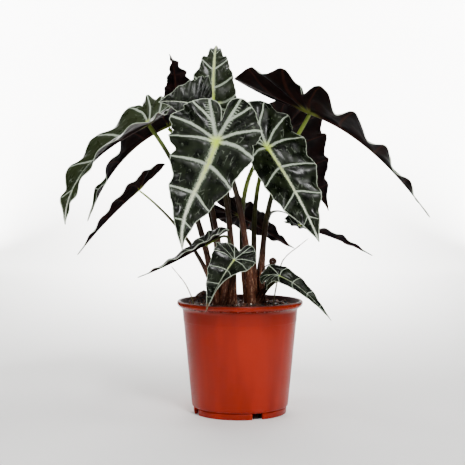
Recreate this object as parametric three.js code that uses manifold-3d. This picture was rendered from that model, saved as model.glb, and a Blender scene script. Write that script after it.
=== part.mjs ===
// A potted alocasia: fifteen arrow-shaped leaves on long petioles, grown from two corms in a plastic
// nursery pot. Millimetres and degrees. +Z is up, the origin is the centre of the pot's foot, and the
// plant's front faces -Y.
import * as THREE from "three";
import { mergeVertices } from "three/addons/utils/BufferGeometryUtils.js";
import Module from "manifold-3d";

const wasm = await Module();
wasm.setup();

// ---------------------------------------------------------------- driving dimensions

const CLEARANCE = 0.35; // gap between pieces that touch

const POT = {
  height: 152,
  rimRadius: 85, // outside of the rolled rim
  neckRadius: 77.5, // wall just below the rim
  heelRadius: 65, // wall just above the foot
  footRadius: 62.5,
  footHeight: 9,
  footWidth: 4,
  rimHeight: 12,
  rimWidth: 4.2,
  wall: 1.6,
  floorThickness: 2,
  segments: 44,
  notch: { count: 4, firstAngle: -158.5, width: 15, height: 8.4, depth: 16 },
  drain: { width: 10.5, depth: 9, inset: 10 },
};

const SOIL = {
  level: 145,
  crumbHeight: 1.6,
  crumbPeriods: [20, 23, 48, 17],
  mound: { at: [-50, 44], height: 15, spread: 15 },
  wallGap: 1.2,
  shoulder: 6, // depth at which the soil first meets the wall
  rings: 8,
};

const CORM = { radius: 19.5, top: 143, height: 34, socketDepth: 14, segments: 20 };

// Where each clump of petioles stands, and how far its outer petioles stand from its middle.
const CLUMPS = {
  left: { at: [-21, -8], ringRadius: 12.6, ringCount: 7 },
  right: { at: [20, 4], ringRadius: 10.6, ringCount: 6 },
};

const PETIOLE = {
  socketRadius: 3.6,
  stub: 6, // straight length above the corm
  sides: 7,
  rings: 10,
  taper: 1.3,
  tipDepth: 0.6, // of its middle below the blade, as a share of its radius there
};

const BLADE = {
  thickness: 0.9,
  ribDepth: 2.2, // how far the midrib stands out below the blade at the petiole
  ribTaper: 0.85, // share of that lost by the tip
  veinDepth: 0.8,
  veinTaper: 0.8,
  fullLength: 140, // a shorter leaf has lower ribs
  columns: [0.34, 0.68, 1], // shares of the way from midrib to margin
  veinSlant: 0.1, // how far towards the tip a vein runs, at least, as a share of the length
  lobeShare: 0.5, // greatest reach of the hind lobes, as a share of the length
  midribSteps: 60,
  uneven: { amount: 0.35, pace: 2.4 }, // how the margin's waves differ from one another
  scallopSharpness: 1.6, // above 1, a scallop's bulge is wider than the dip beside it
};

// One half of the blade's outline, from the tip round to the notch between the hind lobes, as shares of
// the length along the midrib and of the half width across it. A vein ends at each even point, where the
// margin bulges, and a scalloped margin draws in at each odd one. The last vein ends at the lobe's point.
const OUTLINE = [
  [1.0, 0.0],
  [0.88, 0.085],
  [0.76, 0.2],
  [0.65, 0.31],
  [0.54, 0.48],
  [0.42, 0.58],
  [0.29, 0.74],
  [0.18, 0.8],
  [0.06, 0.94],
  [-0.05, 0.93],
  [-0.16, 1.0],
  [-0.25, 0.83],
  [-0.33, 0.69],
  [-0.41, 0.36],
  [-0.36, 0.09],
  [-0.2, 0.0],
];
const NOTCH = 0.2; // how far behind the junction the notch lies, as a share of the length
const VEIN_POINTS = [2, 4, 6, 8, 10, 12, 13];

// Each leaf is named for where it stands. A single value holds all along, two are given at the junction
// and the tip, and three at the junction, halfway and the tip:
//   junction      where the petiole meets the blade
//   length        along the midrib from the junction to the tip
//   halfWidth     from midrib to margin, [left, right] as seen from above with the tip ahead
//   lobes         reach of the [left, right] hind lobe, as a share of the outline's
//   heading       of the midrib, 0 = +X and 90 = +Y
//   pitch         of the midrib, 0 = level and -90 = straight down
//   roll          of the blade about its midrib, above 0 = left half down
//   fold          how far the left or right half rises from flat beside the midrib
//   curl          how much more the [left, right] half has turned at its margin
//   ruffle        height of the margin's waves, whose unevenness sets out from phase
//   fullness      how far the [left, right] half's width is carried on towards the tip
//   scallop       share of its width that the margin draws in between the veins
//   lobeDrop      how far the hind lobes hang down from the midrib's line
//   rowsPerPoint  rows of triangles for each point of the outline
// and its petiole:
//   clump, slot   where it stands: slot 0 is the clump's middle, the others go round it
//   radii         above the corm and at the blade
//   lean, rise    sideways and upward pull of its sweep as it leaves the corm
//   arrive, reach from which way, and from how far, it comes up to the blade
const LEAVES = {
  front: {
    junction: [-31, -76, 362], length: 150, halfWidth: [55, 66], lobes: [1.05, 0.9],
    heading: [-131, -152, -60], pitch: [-70, -62, -78], roll: [38, 58, 10],
    fold: { left: [12, 10], right: 8 }, curl: [-20, -20], ruffle: 3, phase: 10,
    fullness: [0.3, 0],
    petiole: {
      clump: "right", slot: 5, radii: [5, 3.2],
      lean: [-5, 0], rise: 110, arrive: [0.35, 0.85, -0.5], reach: 60,
    },
  },
  right_front: {
    junction: [36, -31, 355], length: 142, halfWidth: [58.0, 56.0], lobes: [1.2, 1.1],
    heading: [-20, -22, -30], pitch: [-54, -59, -66], roll: [-35, -55, -65],
    fold: { left: [14, 10], right: [25, 14] }, curl: [-20, -10], ruffle: 3, phase: 80,
    fullness: [0.35, 0.35],
    petiole: {
      clump: "right", slot: 4, radii: [4.4, 2.8],
      lean: [-14, -2], rise: 120, arrive: [-0.7, 0.4, -0.7], reach: 50,
    },
  },
  right_back: {
    junction: [57, 57, 374], length: 138, halfWidth: [42.0, 69.0], lobes: [1.1, 1.0],
    heading: [45, 35, 10], pitch: [-38, -49, -68], roll: 40,
    fold: { left: [15, 10], right: 10 }, curl: [-20, -20], ruffle: 4, phase: 150,
    scallop: 0.1,
    petiole: {
      clump: "right", slot: 0, radii: [4.4, 2.6],
      lean: [-4, 4], rise: 130, arrive: [-0.7, -0.5, -0.7], reach: 60,
    },
  },
  far_right: {
    junction: [93, -10, 403], length: 216, halfWidth: [42.0, 58.0], lobes: [0.3, 1.25],
    heading: [-19, -21, -24], pitch: [-20, -42, -53], roll: 0,
    fold: { left: [10.0, 0.0], right: [37.0, 22.0] }, curl: [10, 10], ruffle: 4.5, phase: 220,
    scallop: 0.3,
    petiole: {
      clump: "right", slot: 1, radii: [4.8, 2.6],
      lean: [-8, 4], rise: 150, arrive: [-0.4, 0.5, -0.8], reach: 60,
    },
  },
  top: {
    junction: [-37, 5, 417], length: 98, halfWidth: [36, 40], lobes: [1, 1],
    heading: [78, 84, 84], pitch: [80, 66, 20], roll: 0,
    fold: { left: 20, right: 15 }, curl: [10, 10], ruffle: 3.5, phase: 30,
    fullness: [0.3, 0.3],
    petiole: {
      clump: "left", slot: 2, radii: [4.8, 2.8],
      lean: [4, 4], rise: 170, arrive: [0.1, 0.3, -1], reach: 60,
    },
  },
  top_left: {
    junction: [-54, -36, 412], length: 54, halfWidth: [36, 42], lobes: [0.6, 0.7],
    heading: 185, pitch: [10, 5, -10], roll: 65,
    fold: { left: 15, right: 15 }, curl: [-10, -10], ruffle: 1, phase: 300,
    rowsPerPoint: 1,
    petiole: {
      clump: "left", slot: 1, radii: [4.6, 2.4],
      lean: [0, 0], rise: 160, arrive: [0.3, 0.5, -1], reach: 50,
    },
  },
  top_back: {
    junction: [-86, 11, 427], length: 58, halfWidth: [30.0, 25.0], lobes: [1, 1],
    heading: [-110.0, -120.0, -130.0], pitch: [80.0, 78.0, 50.0], roll: 0,
    fold: { left: [35.0, 10.0], right: [22.0, 10.0] }, curl: [0, 0], ruffle: 3, phase: 200,
    rowsPerPoint: 1,
    petiole: {
      clump: "left", slot: 0, radii: [4.6, 2.2],
      lean: [-6, 4], rise: 130, arrive: [0.4, 0.1, -1], reach: 60,
    },
  },
  far_left: {
    junction: [-123, -2, 389], length: 186, halfWidth: [40, 48], lobes: [0.6, 0.52],
    heading: [180, 180, 184], pitch: [-28.0, -46.0, -92.0], roll: [0, 10, 80],
    fold: { left: [0, 5, 0], right: [50, 40, 10] }, curl: [0, -10], ruffle: 3, phase: 120,
    fullness: [0.45, 0.45], scallop: 0.1,
    petiole: {
      clump: "left", slot: 4, radii: [5, 2.8],
      lean: [-14, 0], rise: 90, arrive: [0.6, -0.1, -0.8], reach: 90,
    },
  },
  left: {
    junction: [-100, 59, 388], length: 180, halfWidth: [40.0, 44.0], lobes: [0.7, 0.7],
    heading: 176, pitch: [-22, -51, -70], roll: [-8, 5, 60],
    fold: { left: [45, 24], right: [40, 24] }, curl: [-10, -10], ruffle: 3, phase: 60,
    scallop: 0.2,
    petiole: {
      clump: "left", slot: 3, radii: [4.8, 2.6],
      lean: [-6, 8], rise: 100, arrive: [0.7, -0.1, -0.7], reach: 70,
    },
  },
  left_low: {
    junction: [-134, -30, 301], length: 118, halfWidth: [22, 18], lobes: [1, 1],
    heading: 187, pitch: [-40, -47, -52], roll: 0,
    fold: { left: [45, 40], right: [45, 40] }, curl: [-10, -10], ruffle: 1.2, phase: 90,
    rowsPerPoint: 1,
    petiole: {
      clump: "left", slot: 5, radii: [4, 1.3],
      lean: [-6, 0], rise: 50, arrive: [0.8, 0, -0.6], reach: 60,
    },
  },
  low_left: {
    junction: [-46, -52, 230], length: 98, halfWidth: [18, 20], lobes: [0.9, 0.9],
    heading: [188, 190, 194], pitch: [-30, -26, -18], roll: [10, 0, -10],
    fold: { left: [30, 25], right: 25 }, curl: [-10, -10], ruffle: 1.2, phase: 170,
    rowsPerPoint: 1,
    petiole: {
      clump: "left", slot: 6, radii: [3.6, 1.5],
      lean: [22, -10], rise: 110, arrive: [0.8, 0.3, 0.5], reach: 36,
    },
  },
  front_low: {
    junction: [-8, -90, 212], length: 75, halfWidth: [28.0, 31.0], lobes: [0.9, 0.5],
    heading: [-160.0, -154.0, -140.0], pitch: [-52, -58, -62], roll: 62,
    fold: { left: [25.0, 80.0, 85.0], right: [10.0, 10.0] }, curl: [-10, -10], ruffle: 1, phase: 250,
    fullness: [0.2, 0.2],
    petiole: {
      clump: "left", slot: 7, radii: [3.8, 2],
      lean: [4, -10], rise: 50, arrive: [0.2, 0.9, -0.2], reach: 26,
    },
  },
  low_right: {
    junction: [52, -38, 187], length: 90, halfWidth: [18, 16], lobes: [0.7, 0.9],
    heading: -8, pitch: [-22, -42, -50], roll: -45,
    fold: { left: 10, right: 25 }, curl: [-10, -10], ruffle: 0.6, phase: 340,
    lobeDrop: 180, rowsPerPoint: 1,
    petiole: {
      clump: "right", slot: 6, radii: [3.6, 2],
      lean: [6, -4], rise: 20, arrive: [-0.5, 0.6, -0.6], reach: 16,
    },
  },
  back_low: {
    junction: [0, 62, 264], length: 96, halfWidth: [26, 26], lobes: [1.1, 1.1],
    heading: 20, pitch: [-24, -32, -28], roll: 50,
    fold: { left: [10, 15], right: [10, 15] }, curl: [0, 0], ruffle: 3, phase: 40,
    rowsPerPoint: 1,
    petiole: {
      clump: "right", slot: 3, radii: [3.8, 2],
      lean: [0, 6], rise: 60, arrive: [0.1, -0.9, -0.5], reach: 24,
    },
  },
  right_low: {
    junction: [83, 40, 250], length: 112, halfWidth: [17, 17], lobes: [0.5, 0.5],
    heading: 9, pitch: [-16, -22, -28], roll: [-30, 25, 40],
    fold: { left: 25, right: 25 }, curl: [-10, -10], ruffle: 1.5, phase: 280,
    rowsPerPoint: 1,
    petiole: {
      clump: "right", slot: 2, radii: [4.2, 1.8],
      lean: [6, 14], rise: 190, arrive: [-0.2, 0.8, 0.6], reach: 50,
    },
  },
};

// Leafless old stalks, each a thin stem through the given points, the first of them down in the soil.
const STALKS = {
  left: {
    radii: [1.1, 0.5],
    line: [[-62, -25, 134], [-62, -25, 150], [-72, -33, 176], [-91, -45, 201]],
  },
  right: {
    radii: [1.2, 0.6],
    line: [[45, -10, 134], [45, -10, 150], [53, -12, 193], [62, -14, 212], [92, -18, 236]],
  },
};
const STALK = { sides: 5, rings: 10, play: 0.8 };

// ---------------------------------------------------------------- small helpers

const radians = THREE.MathUtils.degToRad;

/** A value at share t of the way from junction to tip, from one value, two end values, or three. */
function along(values, t) {
  if (typeof values === "number") return values;
  if (values.length === 2) return values[0] + (values[1] - values[0]) * t;
  const [start, middle, end] = values;
  return start * (1 - t) * (1 - 2 * t) + middle * 4 * t * (1 - t) + end * t * (2 * t - 1);
}

/** A closed manifold-3d solid from a geometry. */
function toSolid(geometry) {
  const bare = geometry.clone();
  for (const name of Object.keys(bare.attributes)) if (name !== "position") bare.deleteAttribute(name);
  const merged = mergeVertices(bare, 1e-3);
  return new wasm.Manifold(
    new wasm.Mesh({
      numProp: 3,
      vertProperties: new Float32Array(merged.attributes.position.array),
      triVerts: new Uint32Array(merged.index.array),
    }),
  );
}

/** A three.js geometry from a manifold-3d solid. */
function toGeometry(solid) {
  const mesh = solid.getMesh();
  return new THREE.BufferGeometry()
    .setAttribute("position", new THREE.BufferAttribute(mesh.vertProperties, 3))
    .setIndex(new THREE.BufferAttribute(mesh.triVerts, 1));
}

/** A geometry from a list of points and a list of triangles. */
function indexedGeometry(points, triangles) {
  const positions = points.flatMap((point) => point.toArray());
  return new THREE.BufferGeometry()
    .setAttribute("position", new THREE.Float32BufferAttribute(positions, 3))
    .setIndex(triangles.flat());
}

/** A solid turned about +Z from a profile of [radius, height] pairs. */
function turned(profile, segments) {
  const outline = profile.map(([radius, height]) => new THREE.Vector2(radius, height));
  return toSolid(new THREE.LatheGeometry(outline, segments).rotateX(Math.PI / 2));
}

/** An upright round plug with its lower end at a place, to cut a plain hole with. */
function plug(radius, length, [x, y, z], segments = 12) {
  const cylinder = new THREE.CylinderGeometry(radius, radius, length, segments);
  return toSolid(cylinder.rotateX(Math.PI / 2).translate(x, y, z + length / 2));
}

/** A solid less every one of a list of others. */
function less(body, cuts) {
  return cuts.reduce((left, cut) => left.subtract(cut), body);
}

/** A named mesh of a solid. */
function named(name, solid, material) {
  const geometry = toGeometry(solid);
  geometry.computeVertexNormals();
  const mesh = new THREE.Mesh(geometry, material);
  mesh.name = name;
  return mesh;
}

/** Rings of points round a line of stations, each { point, tangent, radius }. */
function tubeRings(stations, sides) {
  let across = new THREE.Vector3(1, 0, 0);
  return stations.map(({ point, tangent, radius }) => {
    across = across.clone().addScaledVector(tangent, -across.dot(tangent)).normalize();
    const other = tangent.clone().cross(across);
    return Array.from({ length: sides }, (_, i) => {
      const angle = (2 * Math.PI * i) / sides;
      return point
        .clone()
        .addScaledVector(across, radius * Math.cos(angle))
        .addScaledVector(other, radius * Math.sin(angle));
    });
  });
}

/** A closed solid skinned over rings of points, with a fan of triangles over each end. */
function skinned(rings) {
  const sides = rings[0].length;
  const last = rings.length - 1;
  const at = (ring, i) => ring * sides + (i % sides);
  const triangles = [];
  for (let ring = 0; ring < last; ring++) {
    for (let i = 0; i < sides; i++) {
      const [a, b, c, d] = [at(ring, i), at(ring, i + 1), at(ring + 1, i + 1), at(ring + 1, i)];
      triangles.push([a, b, c], [a, c, d]);
    }
  }
  for (let i = 1; i < sides - 1; i++) {
    triangles.push([at(0, 0), at(0, i + 1), at(0, i)]);
    triangles.push([at(last, 0), at(last, i), at(last, i + 1)]);
  }
  return toSolid(indexedGeometry(rings.flat(), triangles));
}

// ---------------------------------------------------------------- materials

const MATERIALS = {
  pot: new THREE.MeshStandardMaterial({ color: 0xa5351c, roughness: 0.42, metalness: 0 }),
  soil: new THREE.MeshStandardMaterial({ color: 0x2a1a12, roughness: 0.95, metalness: 0 }),
  corm: new THREE.MeshStandardMaterial({ color: 0x4b3226, roughness: 0.85, metalness: 0 }),
  blade: new THREE.MeshStandardMaterial({ color: 0x1d2a1f, roughness: 0.38, metalness: 0 }),
  petiole: new THREE.MeshStandardMaterial({ color: 0x3f2a20, roughness: 0.5, metalness: 0 }),
  stalk: new THREE.MeshStandardMaterial({ color: 0x8a7a52, roughness: 0.8, metalness: 0 }),
};

// ---------------------------------------------------------------- pot

/** The pot's floor, foot ring, flared wall and rolled rim as one turned profile, from the axis out. */
function potBody() {
  const { height, rimRadius, neckRadius, heelRadius, footRadius, footHeight, wall } = POT;
  const footInside = footRadius - POT.footWidth;
  const floorTop = footHeight + POT.floorThickness;
  const neckHeight = height - POT.rimHeight;
  const underside = [
    [0, footHeight],
    [footInside, footHeight],
    [footInside, 0],
    [footRadius - 0.6, 0],
    [footRadius, 1],
    [footRadius + 0.4, footHeight - 0.6],
  ];
  const outside = [
    [heelRadius - 0.5, footHeight],
    [heelRadius + 0.3, footHeight + 3],
    [neckRadius, neckHeight],
    [neckRadius + 2.4, neckHeight + 3],
    [rimRadius - 1.2, neckHeight + 5.4],
    [rimRadius, neckHeight + 7.6],
  ];
  const rimTop = [
    [rimRadius - 0.3, height - 1.6],
    [rimRadius - 1.6, height - 0.2],
    [rimRadius - 3.2, height],
    [rimRadius - POT.rimWidth, height - 1.4],
  ];
  const inside = [
    [neckRadius - wall, neckHeight],
    [heelRadius - wall + 0.8, floorTop + 3],
    [heelRadius - wall - 1.4, floorTop],
    [0, floorTop],
  ];
  return turned([...underside, ...outside, ...rimTop, ...inside], POT.segments);
}

/** Notches through the foot ring, each with a drain that reaches up through the pot's floor. */
function drainNotches() {
  const { count, firstAngle, width, height, depth } = POT.notch;
  const { drain, footRadius, footHeight, floorThickness } = POT;
  const through = footHeight + floorThickness + 3;
  return Array.from({ length: count }, (_, i) => {
    const angle = radians(firstAngle + (360 / count) * i);
    const gap = new THREE.BoxGeometry(depth, width, height);
    const hole = new THREE.BoxGeometry(drain.depth, drain.width, through);
    gap.translate(footRadius - POT.footWidth, 0, height / 2 - 0.01).rotateZ(angle);
    hole.translate(footRadius - drain.inset, 0, through / 2).rotateZ(angle);
    return toSolid(gap).add(toSolid(hole));
  });
}

function makePot() {
  return named("pot", less(potBody(), drainNotches()), MATERIALS.pot);
}

// ---------------------------------------------------------------- soil and corms

/** Height of the soil's crumbly surface at a point. */
function soilHeight(x, y) {
  const { at, height, spread } = SOIL.mound;
  const away = Math.hypot(x - at[0], y - at[1]) / spread;
  const [first, second, third, fourth] = SOIL.crumbPeriods.map((period) => (2 * Math.PI) / period);
  const crumbs = Math.sin(x * first) * Math.cos(y * second) + 0.6 * Math.sin(x * third - y * fourth);
  return SOIL.level + SOIL.crumbHeight * crumbs + height * Math.exp(-away * away);
}

/** Radius of the soil at a height, just inside the pot's flared wall. */
function soilRadius(height) {
  const { heelRadius, neckRadius, footHeight, rimHeight, wall } = POT;
  const slope = (neckRadius - heelRadius) / (POT.height - rimHeight - footHeight);
  return heelRadius - wall - SOIL.wallGap + (height - footHeight) * slope;
}

/** A ring of points at a radius, each at its own height. */
function levelRing(radius, heightAt) {
  return Array.from({ length: POT.segments }, (_, i) => {
    const angle = (2 * Math.PI * i) / POT.segments;
    const [x, y] = [radius * Math.cos(angle), radius * Math.sin(angle)];
    return new THREE.Vector3(x, y, heightAt(x, y));
  });
}

/** The potting soil, which fills the pot, with a plain hole for each corm and dry stalk. */
function makeSoil() {
  const floor = POT.footHeight + POT.floorThickness + CLEARANCE;
  const shoulder = SOIL.level - SOIL.shoulder;
  const reach = soilRadius(shoulder);
  const filled = skinned([
    levelRing(soilRadius(floor) - 2, () => floor),
    levelRing(reach, () => shoulder),
    ...Array.from({ length: SOIL.rings }, (_, i) => levelRing(reach * (1 - i / SOIL.rings), soilHeight)),
  ]);
  const cormHoles = Object.values(CLUMPS).map(({ at }) =>
    plug(CORM.radius + CLEARANCE, POT.height, [...at, CORM.top - CORM.height - CLEARANCE], CORM.segments),
  );
  const stalkHoles = Object.values(STALKS).map(({ radii, line }) => {
    const [x, y, z] = line[0];
    return plug(radii[0] + STALK.play, POT.height, [x, y, z - CLEARANCE], STALK.sides * 2);
  });
  return named("soil", less(filled, [...cormHoles, ...stalkHoles]), MATERIALS.soil);
}

/** Where a slot of a clump stands: slot 0 is its middle, the others go round it. */
function slotPlace(clump, slot) {
  const { at, ringRadius, ringCount } = CLUMPS[clump];
  if (slot === 0) return at;
  const angle = radians((360 / ringCount) * (slot - 1));
  return [at[0] + ringRadius * Math.cos(angle), at[1] + ringRadius * Math.sin(angle)];
}

/** A corm, ringed like an onion's neck, with a plain socket for each petiole that grows from it. */
function makeCorm(clump) {
  const { radius, top, height, socketDepth } = CORM;
  const profile = [
    [0, -height],
    [radius * 0.5, -height],
    [radius * 0.86, -height * 0.75],
    [radius, -height * 0.45],
    [radius * 0.95, -height * 0.3],
    [radius, -height * 0.2],
    [radius * 0.97, -2],
    [radius * 0.9, 0],
    [0, 0],
  ];
  const corm = turned(profile, CORM.segments).translate([...CLUMPS[clump].at, top]);
  const sockets = Object.values(LEAVES)
    .filter((leaf) => leaf.petiole.clump === clump)
    .map((leaf) => {
      const foot = [...slotPlace(clump, leaf.petiole.slot), top - socketDepth];
      return plug(PETIOLE.socketRadius + CLEARANCE, height, foot);
    });
  return named(`corm_${clump}`, less(corm, sockets), MATERIALS.corm);
}

// ---------------------------------------------------------------- leaf blade

/** Direction of the midrib, of the blade's upper face and of its left half at share t of the length. */
function bladeFrame(leaf, t) {
  const inside = Math.max(t, 0);
  const heading = radians(along(leaf.heading, inside));
  const drop = t < 0 ? ((leaf.lobeDrop ?? 0) * -t) / BLADE.lobeShare : 0;
  const pitch = radians(along(leaf.pitch, inside) + drop);
  const roll = radians(along(leaf.roll, inside));
  const level = new THREE.Vector3(Math.cos(heading), Math.sin(heading), 0);
  const forward = level.clone().multiplyScalar(Math.cos(pitch)).setZ(Math.sin(pitch));
  const face = level.clone().multiplyScalar(-Math.sin(pitch)).setZ(Math.cos(pitch));
  face.applyAxisAngle(forward, -roll);
  return { forward, face, left: face.clone().cross(forward) };
}

/** The midrib as a function of share t, found by walking from the junction to the tip and back. */
function midribOf(leaf) {
  const steps = BLADE.midribSteps;
  const points = new Map([[0, new THREE.Vector3(...leaf.junction)]]);
  const walk = (way, last) => {
    for (let i = 1; i <= last; i++) {
      const { forward } = bladeFrame(leaf, (way * (i - 0.5)) / steps);
      const from = points.get(way * (i - 1));
      points.set(way * i, from.clone().addScaledVector(forward, (way * leaf.length) / steps));
    }
  };
  walk(1, steps);
  walk(-1, steps * BLADE.lobeShare + 2);
  return (t) => {
    const low = Math.min(Math.floor(t * steps), steps - 1);
    return points.get(low).clone().lerp(points.get(low + 1), t * steps - low);
  };
}

/** A point of the blade's middle surface: t along the midrib, across from it in mm (left is positive). */
function bladePoint(leaf, midrib, t, across, wave) {
  const { face, left } = bladeFrame(leaf, t);
  const half = across >= 0 ? 0 : 1;
  const reach = Math.abs(across);
  const fold = radians(along([leaf.fold.left, leaf.fold.right][half], THREE.MathUtils.clamp(t, 0, 1)));
  const turn = radians(leaf.curl[half] || 1e-3) / leaf.halfWidth[half];
  const out = (Math.sin(fold + turn * reach) - Math.sin(fold)) / turn;
  const up = (Math.cos(fold) - Math.cos(fold + turn * reach)) / turn;
  return midrib(t)
    .addScaledVector(left, Math.sign(across) * out)
    .addScaledVector(face, up + wave);
}

/** Rows of the blade from the tip round to the notch: the margin point of each, and its wave. */
function bladeRows(leaf) {
  const spline = new THREE.SplineCurve(OUTLINE.map(([t, width]) => new THREE.Vector2(t, width)));
  const segments = OUTLINE.length - 1;
  const count = segments * (leaf.rowsPerPoint ?? 2);
  const { amount, pace } = BLADE.uneven;
  return Array.from({ length: count + 1 }, (_, row) => {
    const place = (row / count) * segments;
    const fade = Math.min(1, place / 2, (segments - place) / 2);
    const uneven = 1 + amount * Math.sin(pace * place + radians(leaf.phase));
    const between = ((1 - Math.cos(Math.PI * place)) / 2) ** BLADE.scallopSharpness;
    return {
      margin: spline.getPoint(row / count),
      wave: leaf.ruffle * fade * uneven * Math.cos(Math.PI * place),
      drawnIn: place < segments - 6 ? 1 - (leaf.scallop ?? 0) * fade * between : 1,
      vein: VEIN_POINTS.includes(place),
      last: row === count,
    };
  });
}

/** How deep the blade is below its middle surface on the midrib. */
function midribDepth(leaf, t) {
  const left = t >= 0 ? 1 - BLADE.ribTaper * t : Math.max(0, 1 + t / NOTCH);
  return BLADE.thickness / 2 + BLADE.ribDepth * left * Math.min(1, leaf.length / BLADE.fullLength);
}

/** How deep the blade is below its middle surface at a share of a row's way to the margin. */
function rowDepth(leaf, row, share) {
  const vein = row.vein ? BLADE.veinDepth * (1 - BLADE.veinTaper * share) : 0;
  return BLADE.thickness / 2 + vein * Math.min(1, leaf.length / BLADE.fullLength);
}

/** Where on the midrib a row starts and on the margin it ends, as shares of the length. */
function rowSpan(leaf, row, half) {
  const t = row.margin.x;
  const ahead = t + (leaf.fullness?.[half] ?? 0) * t * (1 - t);
  const end = t < 0 ? t * (row.last ? 1 : leaf.lobes[half]) : ahead;
  return { start: Math.max(0, (t - BLADE.veinSlant) / (1 - BLADE.veinSlant)), end };
}

/** The blade's middle surface as points, the depth of the blade below each, and triangles. */
function bladeSheet(leaf) {
  const midrib = midribOf(leaf);
  const rows = bladeRows(leaf);
  const points = [];
  const depths = [];
  const ids = new Map();
  const add = (key, point, depth) => {
    if (!ids.has(key)) {
      ids.set(key, points.length);
      points.push(point);
      depths.push(depth);
    }
    return ids.get(key);
  };
  const vertex = (side, index, column) => {
    const row = rows[index];
    const half = side > 0 ? 0 : 1;
    const { start, end } = rowSpan(leaf, row, half);
    const share = column < 0 ? 0 : BLADE.columns[column];
    const t = start + (end - start) * share;
    if (share === 0 || index === 0 || row.last) {
      return add(t.toFixed(6), bladePoint(leaf, midrib, t, 0, 0), midribDepth(leaf, t));
    }
    const across = side * row.margin.y * row.drawnIn * share * leaf.halfWidth[half];
    const point = bladePoint(leaf, midrib, t, across, row.wave * share * share);
    return add(`${side}:${index}:${column}`, point, rowDepth(leaf, row, share));
  };
  const triangles = [];
  for (const side of [1, -1]) {
    for (let row = 0; row < rows.length - 1; row++) {
      for (let column = -1; column < BLADE.columns.length - 1; column++) {
        const [a, b] = [vertex(side, row, column), vertex(side, row, column + 1)];
        const [c, d] = [vertex(side, row + 1, column + 1), vertex(side, row + 1, column)];
        const faces = [[a, b, c], [a, c, d]].filter((face) => new Set(face).size === 3);
        triangles.push(...faces.map(([p, q, r]) => (side > 0 ? [p, q, r] : [p, r, q])));
      }
    }
  }
  return { points, depths, triangles };
}

/** The edges of a sheet that only one triangle has, as pairs of points. */
function sheetMargin(triangles) {
  const edges = triangles.flatMap(([a, b, c]) => [[a, b], [b, c], [c, a]]);
  const found = new Set(edges.map(([from, to]) => `${from},${to}`));
  return edges.filter(([from, to]) => !found.has(`${to},${from}`));
}

/** The blade as a closed thin solid: a sheet above, the same sheet below, and a wall at the margin. */
function bladeSolid(leaf) {
  const { points, depths, triangles } = bladeSheet(leaf);
  const middle = indexedGeometry(points, triangles);
  middle.computeVertexNormals();
  const normals = middle.getAttribute("normal");
  const raised = (i, height) =>
    points[i].clone().addScaledVector(new THREE.Vector3().fromBufferAttribute(normals, i), height);
  const above = points.map((_, i) => raised(i, BLADE.thickness / 2));
  const below = points.map((_, i) => raised(i, -depths[i]));
  const count = points.length;
  const underside = triangles.map(([a, b, c]) => [a + count, c + count, b + count]);
  const wall = sheetMargin(triangles).flatMap(([from, to]) => [
    [to, from, from + count],
    [to, from + count, to + count],
  ]);
  return toSolid(indexedGeometry([...above, ...below], [...triangles, ...underside, ...wall]));
}

// ---------------------------------------------------------------- petiole

/** A point and the upward normal of the plane that the petiole ends on, just below the blade. */
function undersidePlane(leaf) {
  const { face } = bladeFrame(leaf, 0);
  const depth = midribDepth(leaf, 0) + CLEARANCE;
  return { face, point: new THREE.Vector3(...leaf.junction).addScaledVector(face, -depth) };
}

/** The sweep of a petiole from the top of its straight stub to the blade's underside. */
function petioleSweep(leaf) {
  const { clump, slot, radii, lean, rise, arrive, reach } = leaf.petiole;
  const { face, point } = undersidePlane(leaf);
  const start = new THREE.Vector3(...slotPlace(clump, slot), CORM.top + PETIOLE.stub);
  const end = point.addScaledVector(face, -PETIOLE.tipDepth * radii[1]);
  const leaving = start.clone().add(new THREE.Vector3(...lean, rise));
  const arriving = end.clone().addScaledVector(new THREE.Vector3(...arrive).normalize(), reach);
  return new THREE.CubicBezierCurve3(start, leaving, arriving, end);
}

/** The straight stub of a petiole, from the foot of its socket to the corm's top. */
function stubStations(leaf) {
  const [x, y] = slotPlace(leaf.petiole.clump, leaf.petiole.slot);
  return [CORM.top - CORM.socketDepth + CLEARANCE, CORM.top].map((z) => ({
    point: new THREE.Vector3(x, y, z),
    tangent: new THREE.Vector3(0, 0, 1),
    radius: PETIOLE.socketRadius,
  }));
}

/** A petiole: a tapered round stem whose last ring of points lies on the blade's underside. */
function petioleSolid(leaf) {
  const sweep = petioleSweep(leaf);
  const [rootRadius, neckRadius] = leaf.petiole.radii;
  const swept = Array.from({ length: PETIOLE.rings + 1 }, (_, i) => {
    const t = i / PETIOLE.rings;
    const radius = neckRadius + (rootRadius - neckRadius) * (1 - t) ** PETIOLE.taper;
    return { point: sweep.getPointAt(t), tangent: sweep.getTangentAt(t), radius };
  });
  const rings = tubeRings([...stubStations(leaf), ...swept], PETIOLE.sides);
  const { face, point } = undersidePlane(leaf);
  for (const skin of rings.at(-1)) {
    skin.addScaledVector(face, -Math.max(0, skin.clone().sub(point).dot(face)));
  }
  return skinned(rings);
}

/** A dry stalk: a thin tapered stem through its points. */
function stalkSolid({ radii, line }) {
  const curve = new THREE.CatmullRomCurve3(line.map((point) => new THREE.Vector3(...point)));
  const stations = Array.from({ length: STALK.rings + 1 }, (_, i) => {
    const t = i / STALK.rings;
    return { point: curve.getPointAt(t), tangent: curve.getTangentAt(t), radius: along(radii, t) };
  });
  return skinned(tubeRings(stations, STALK.sides));
}

// ---------------------------------------------------------------- the plant in its pot

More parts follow.
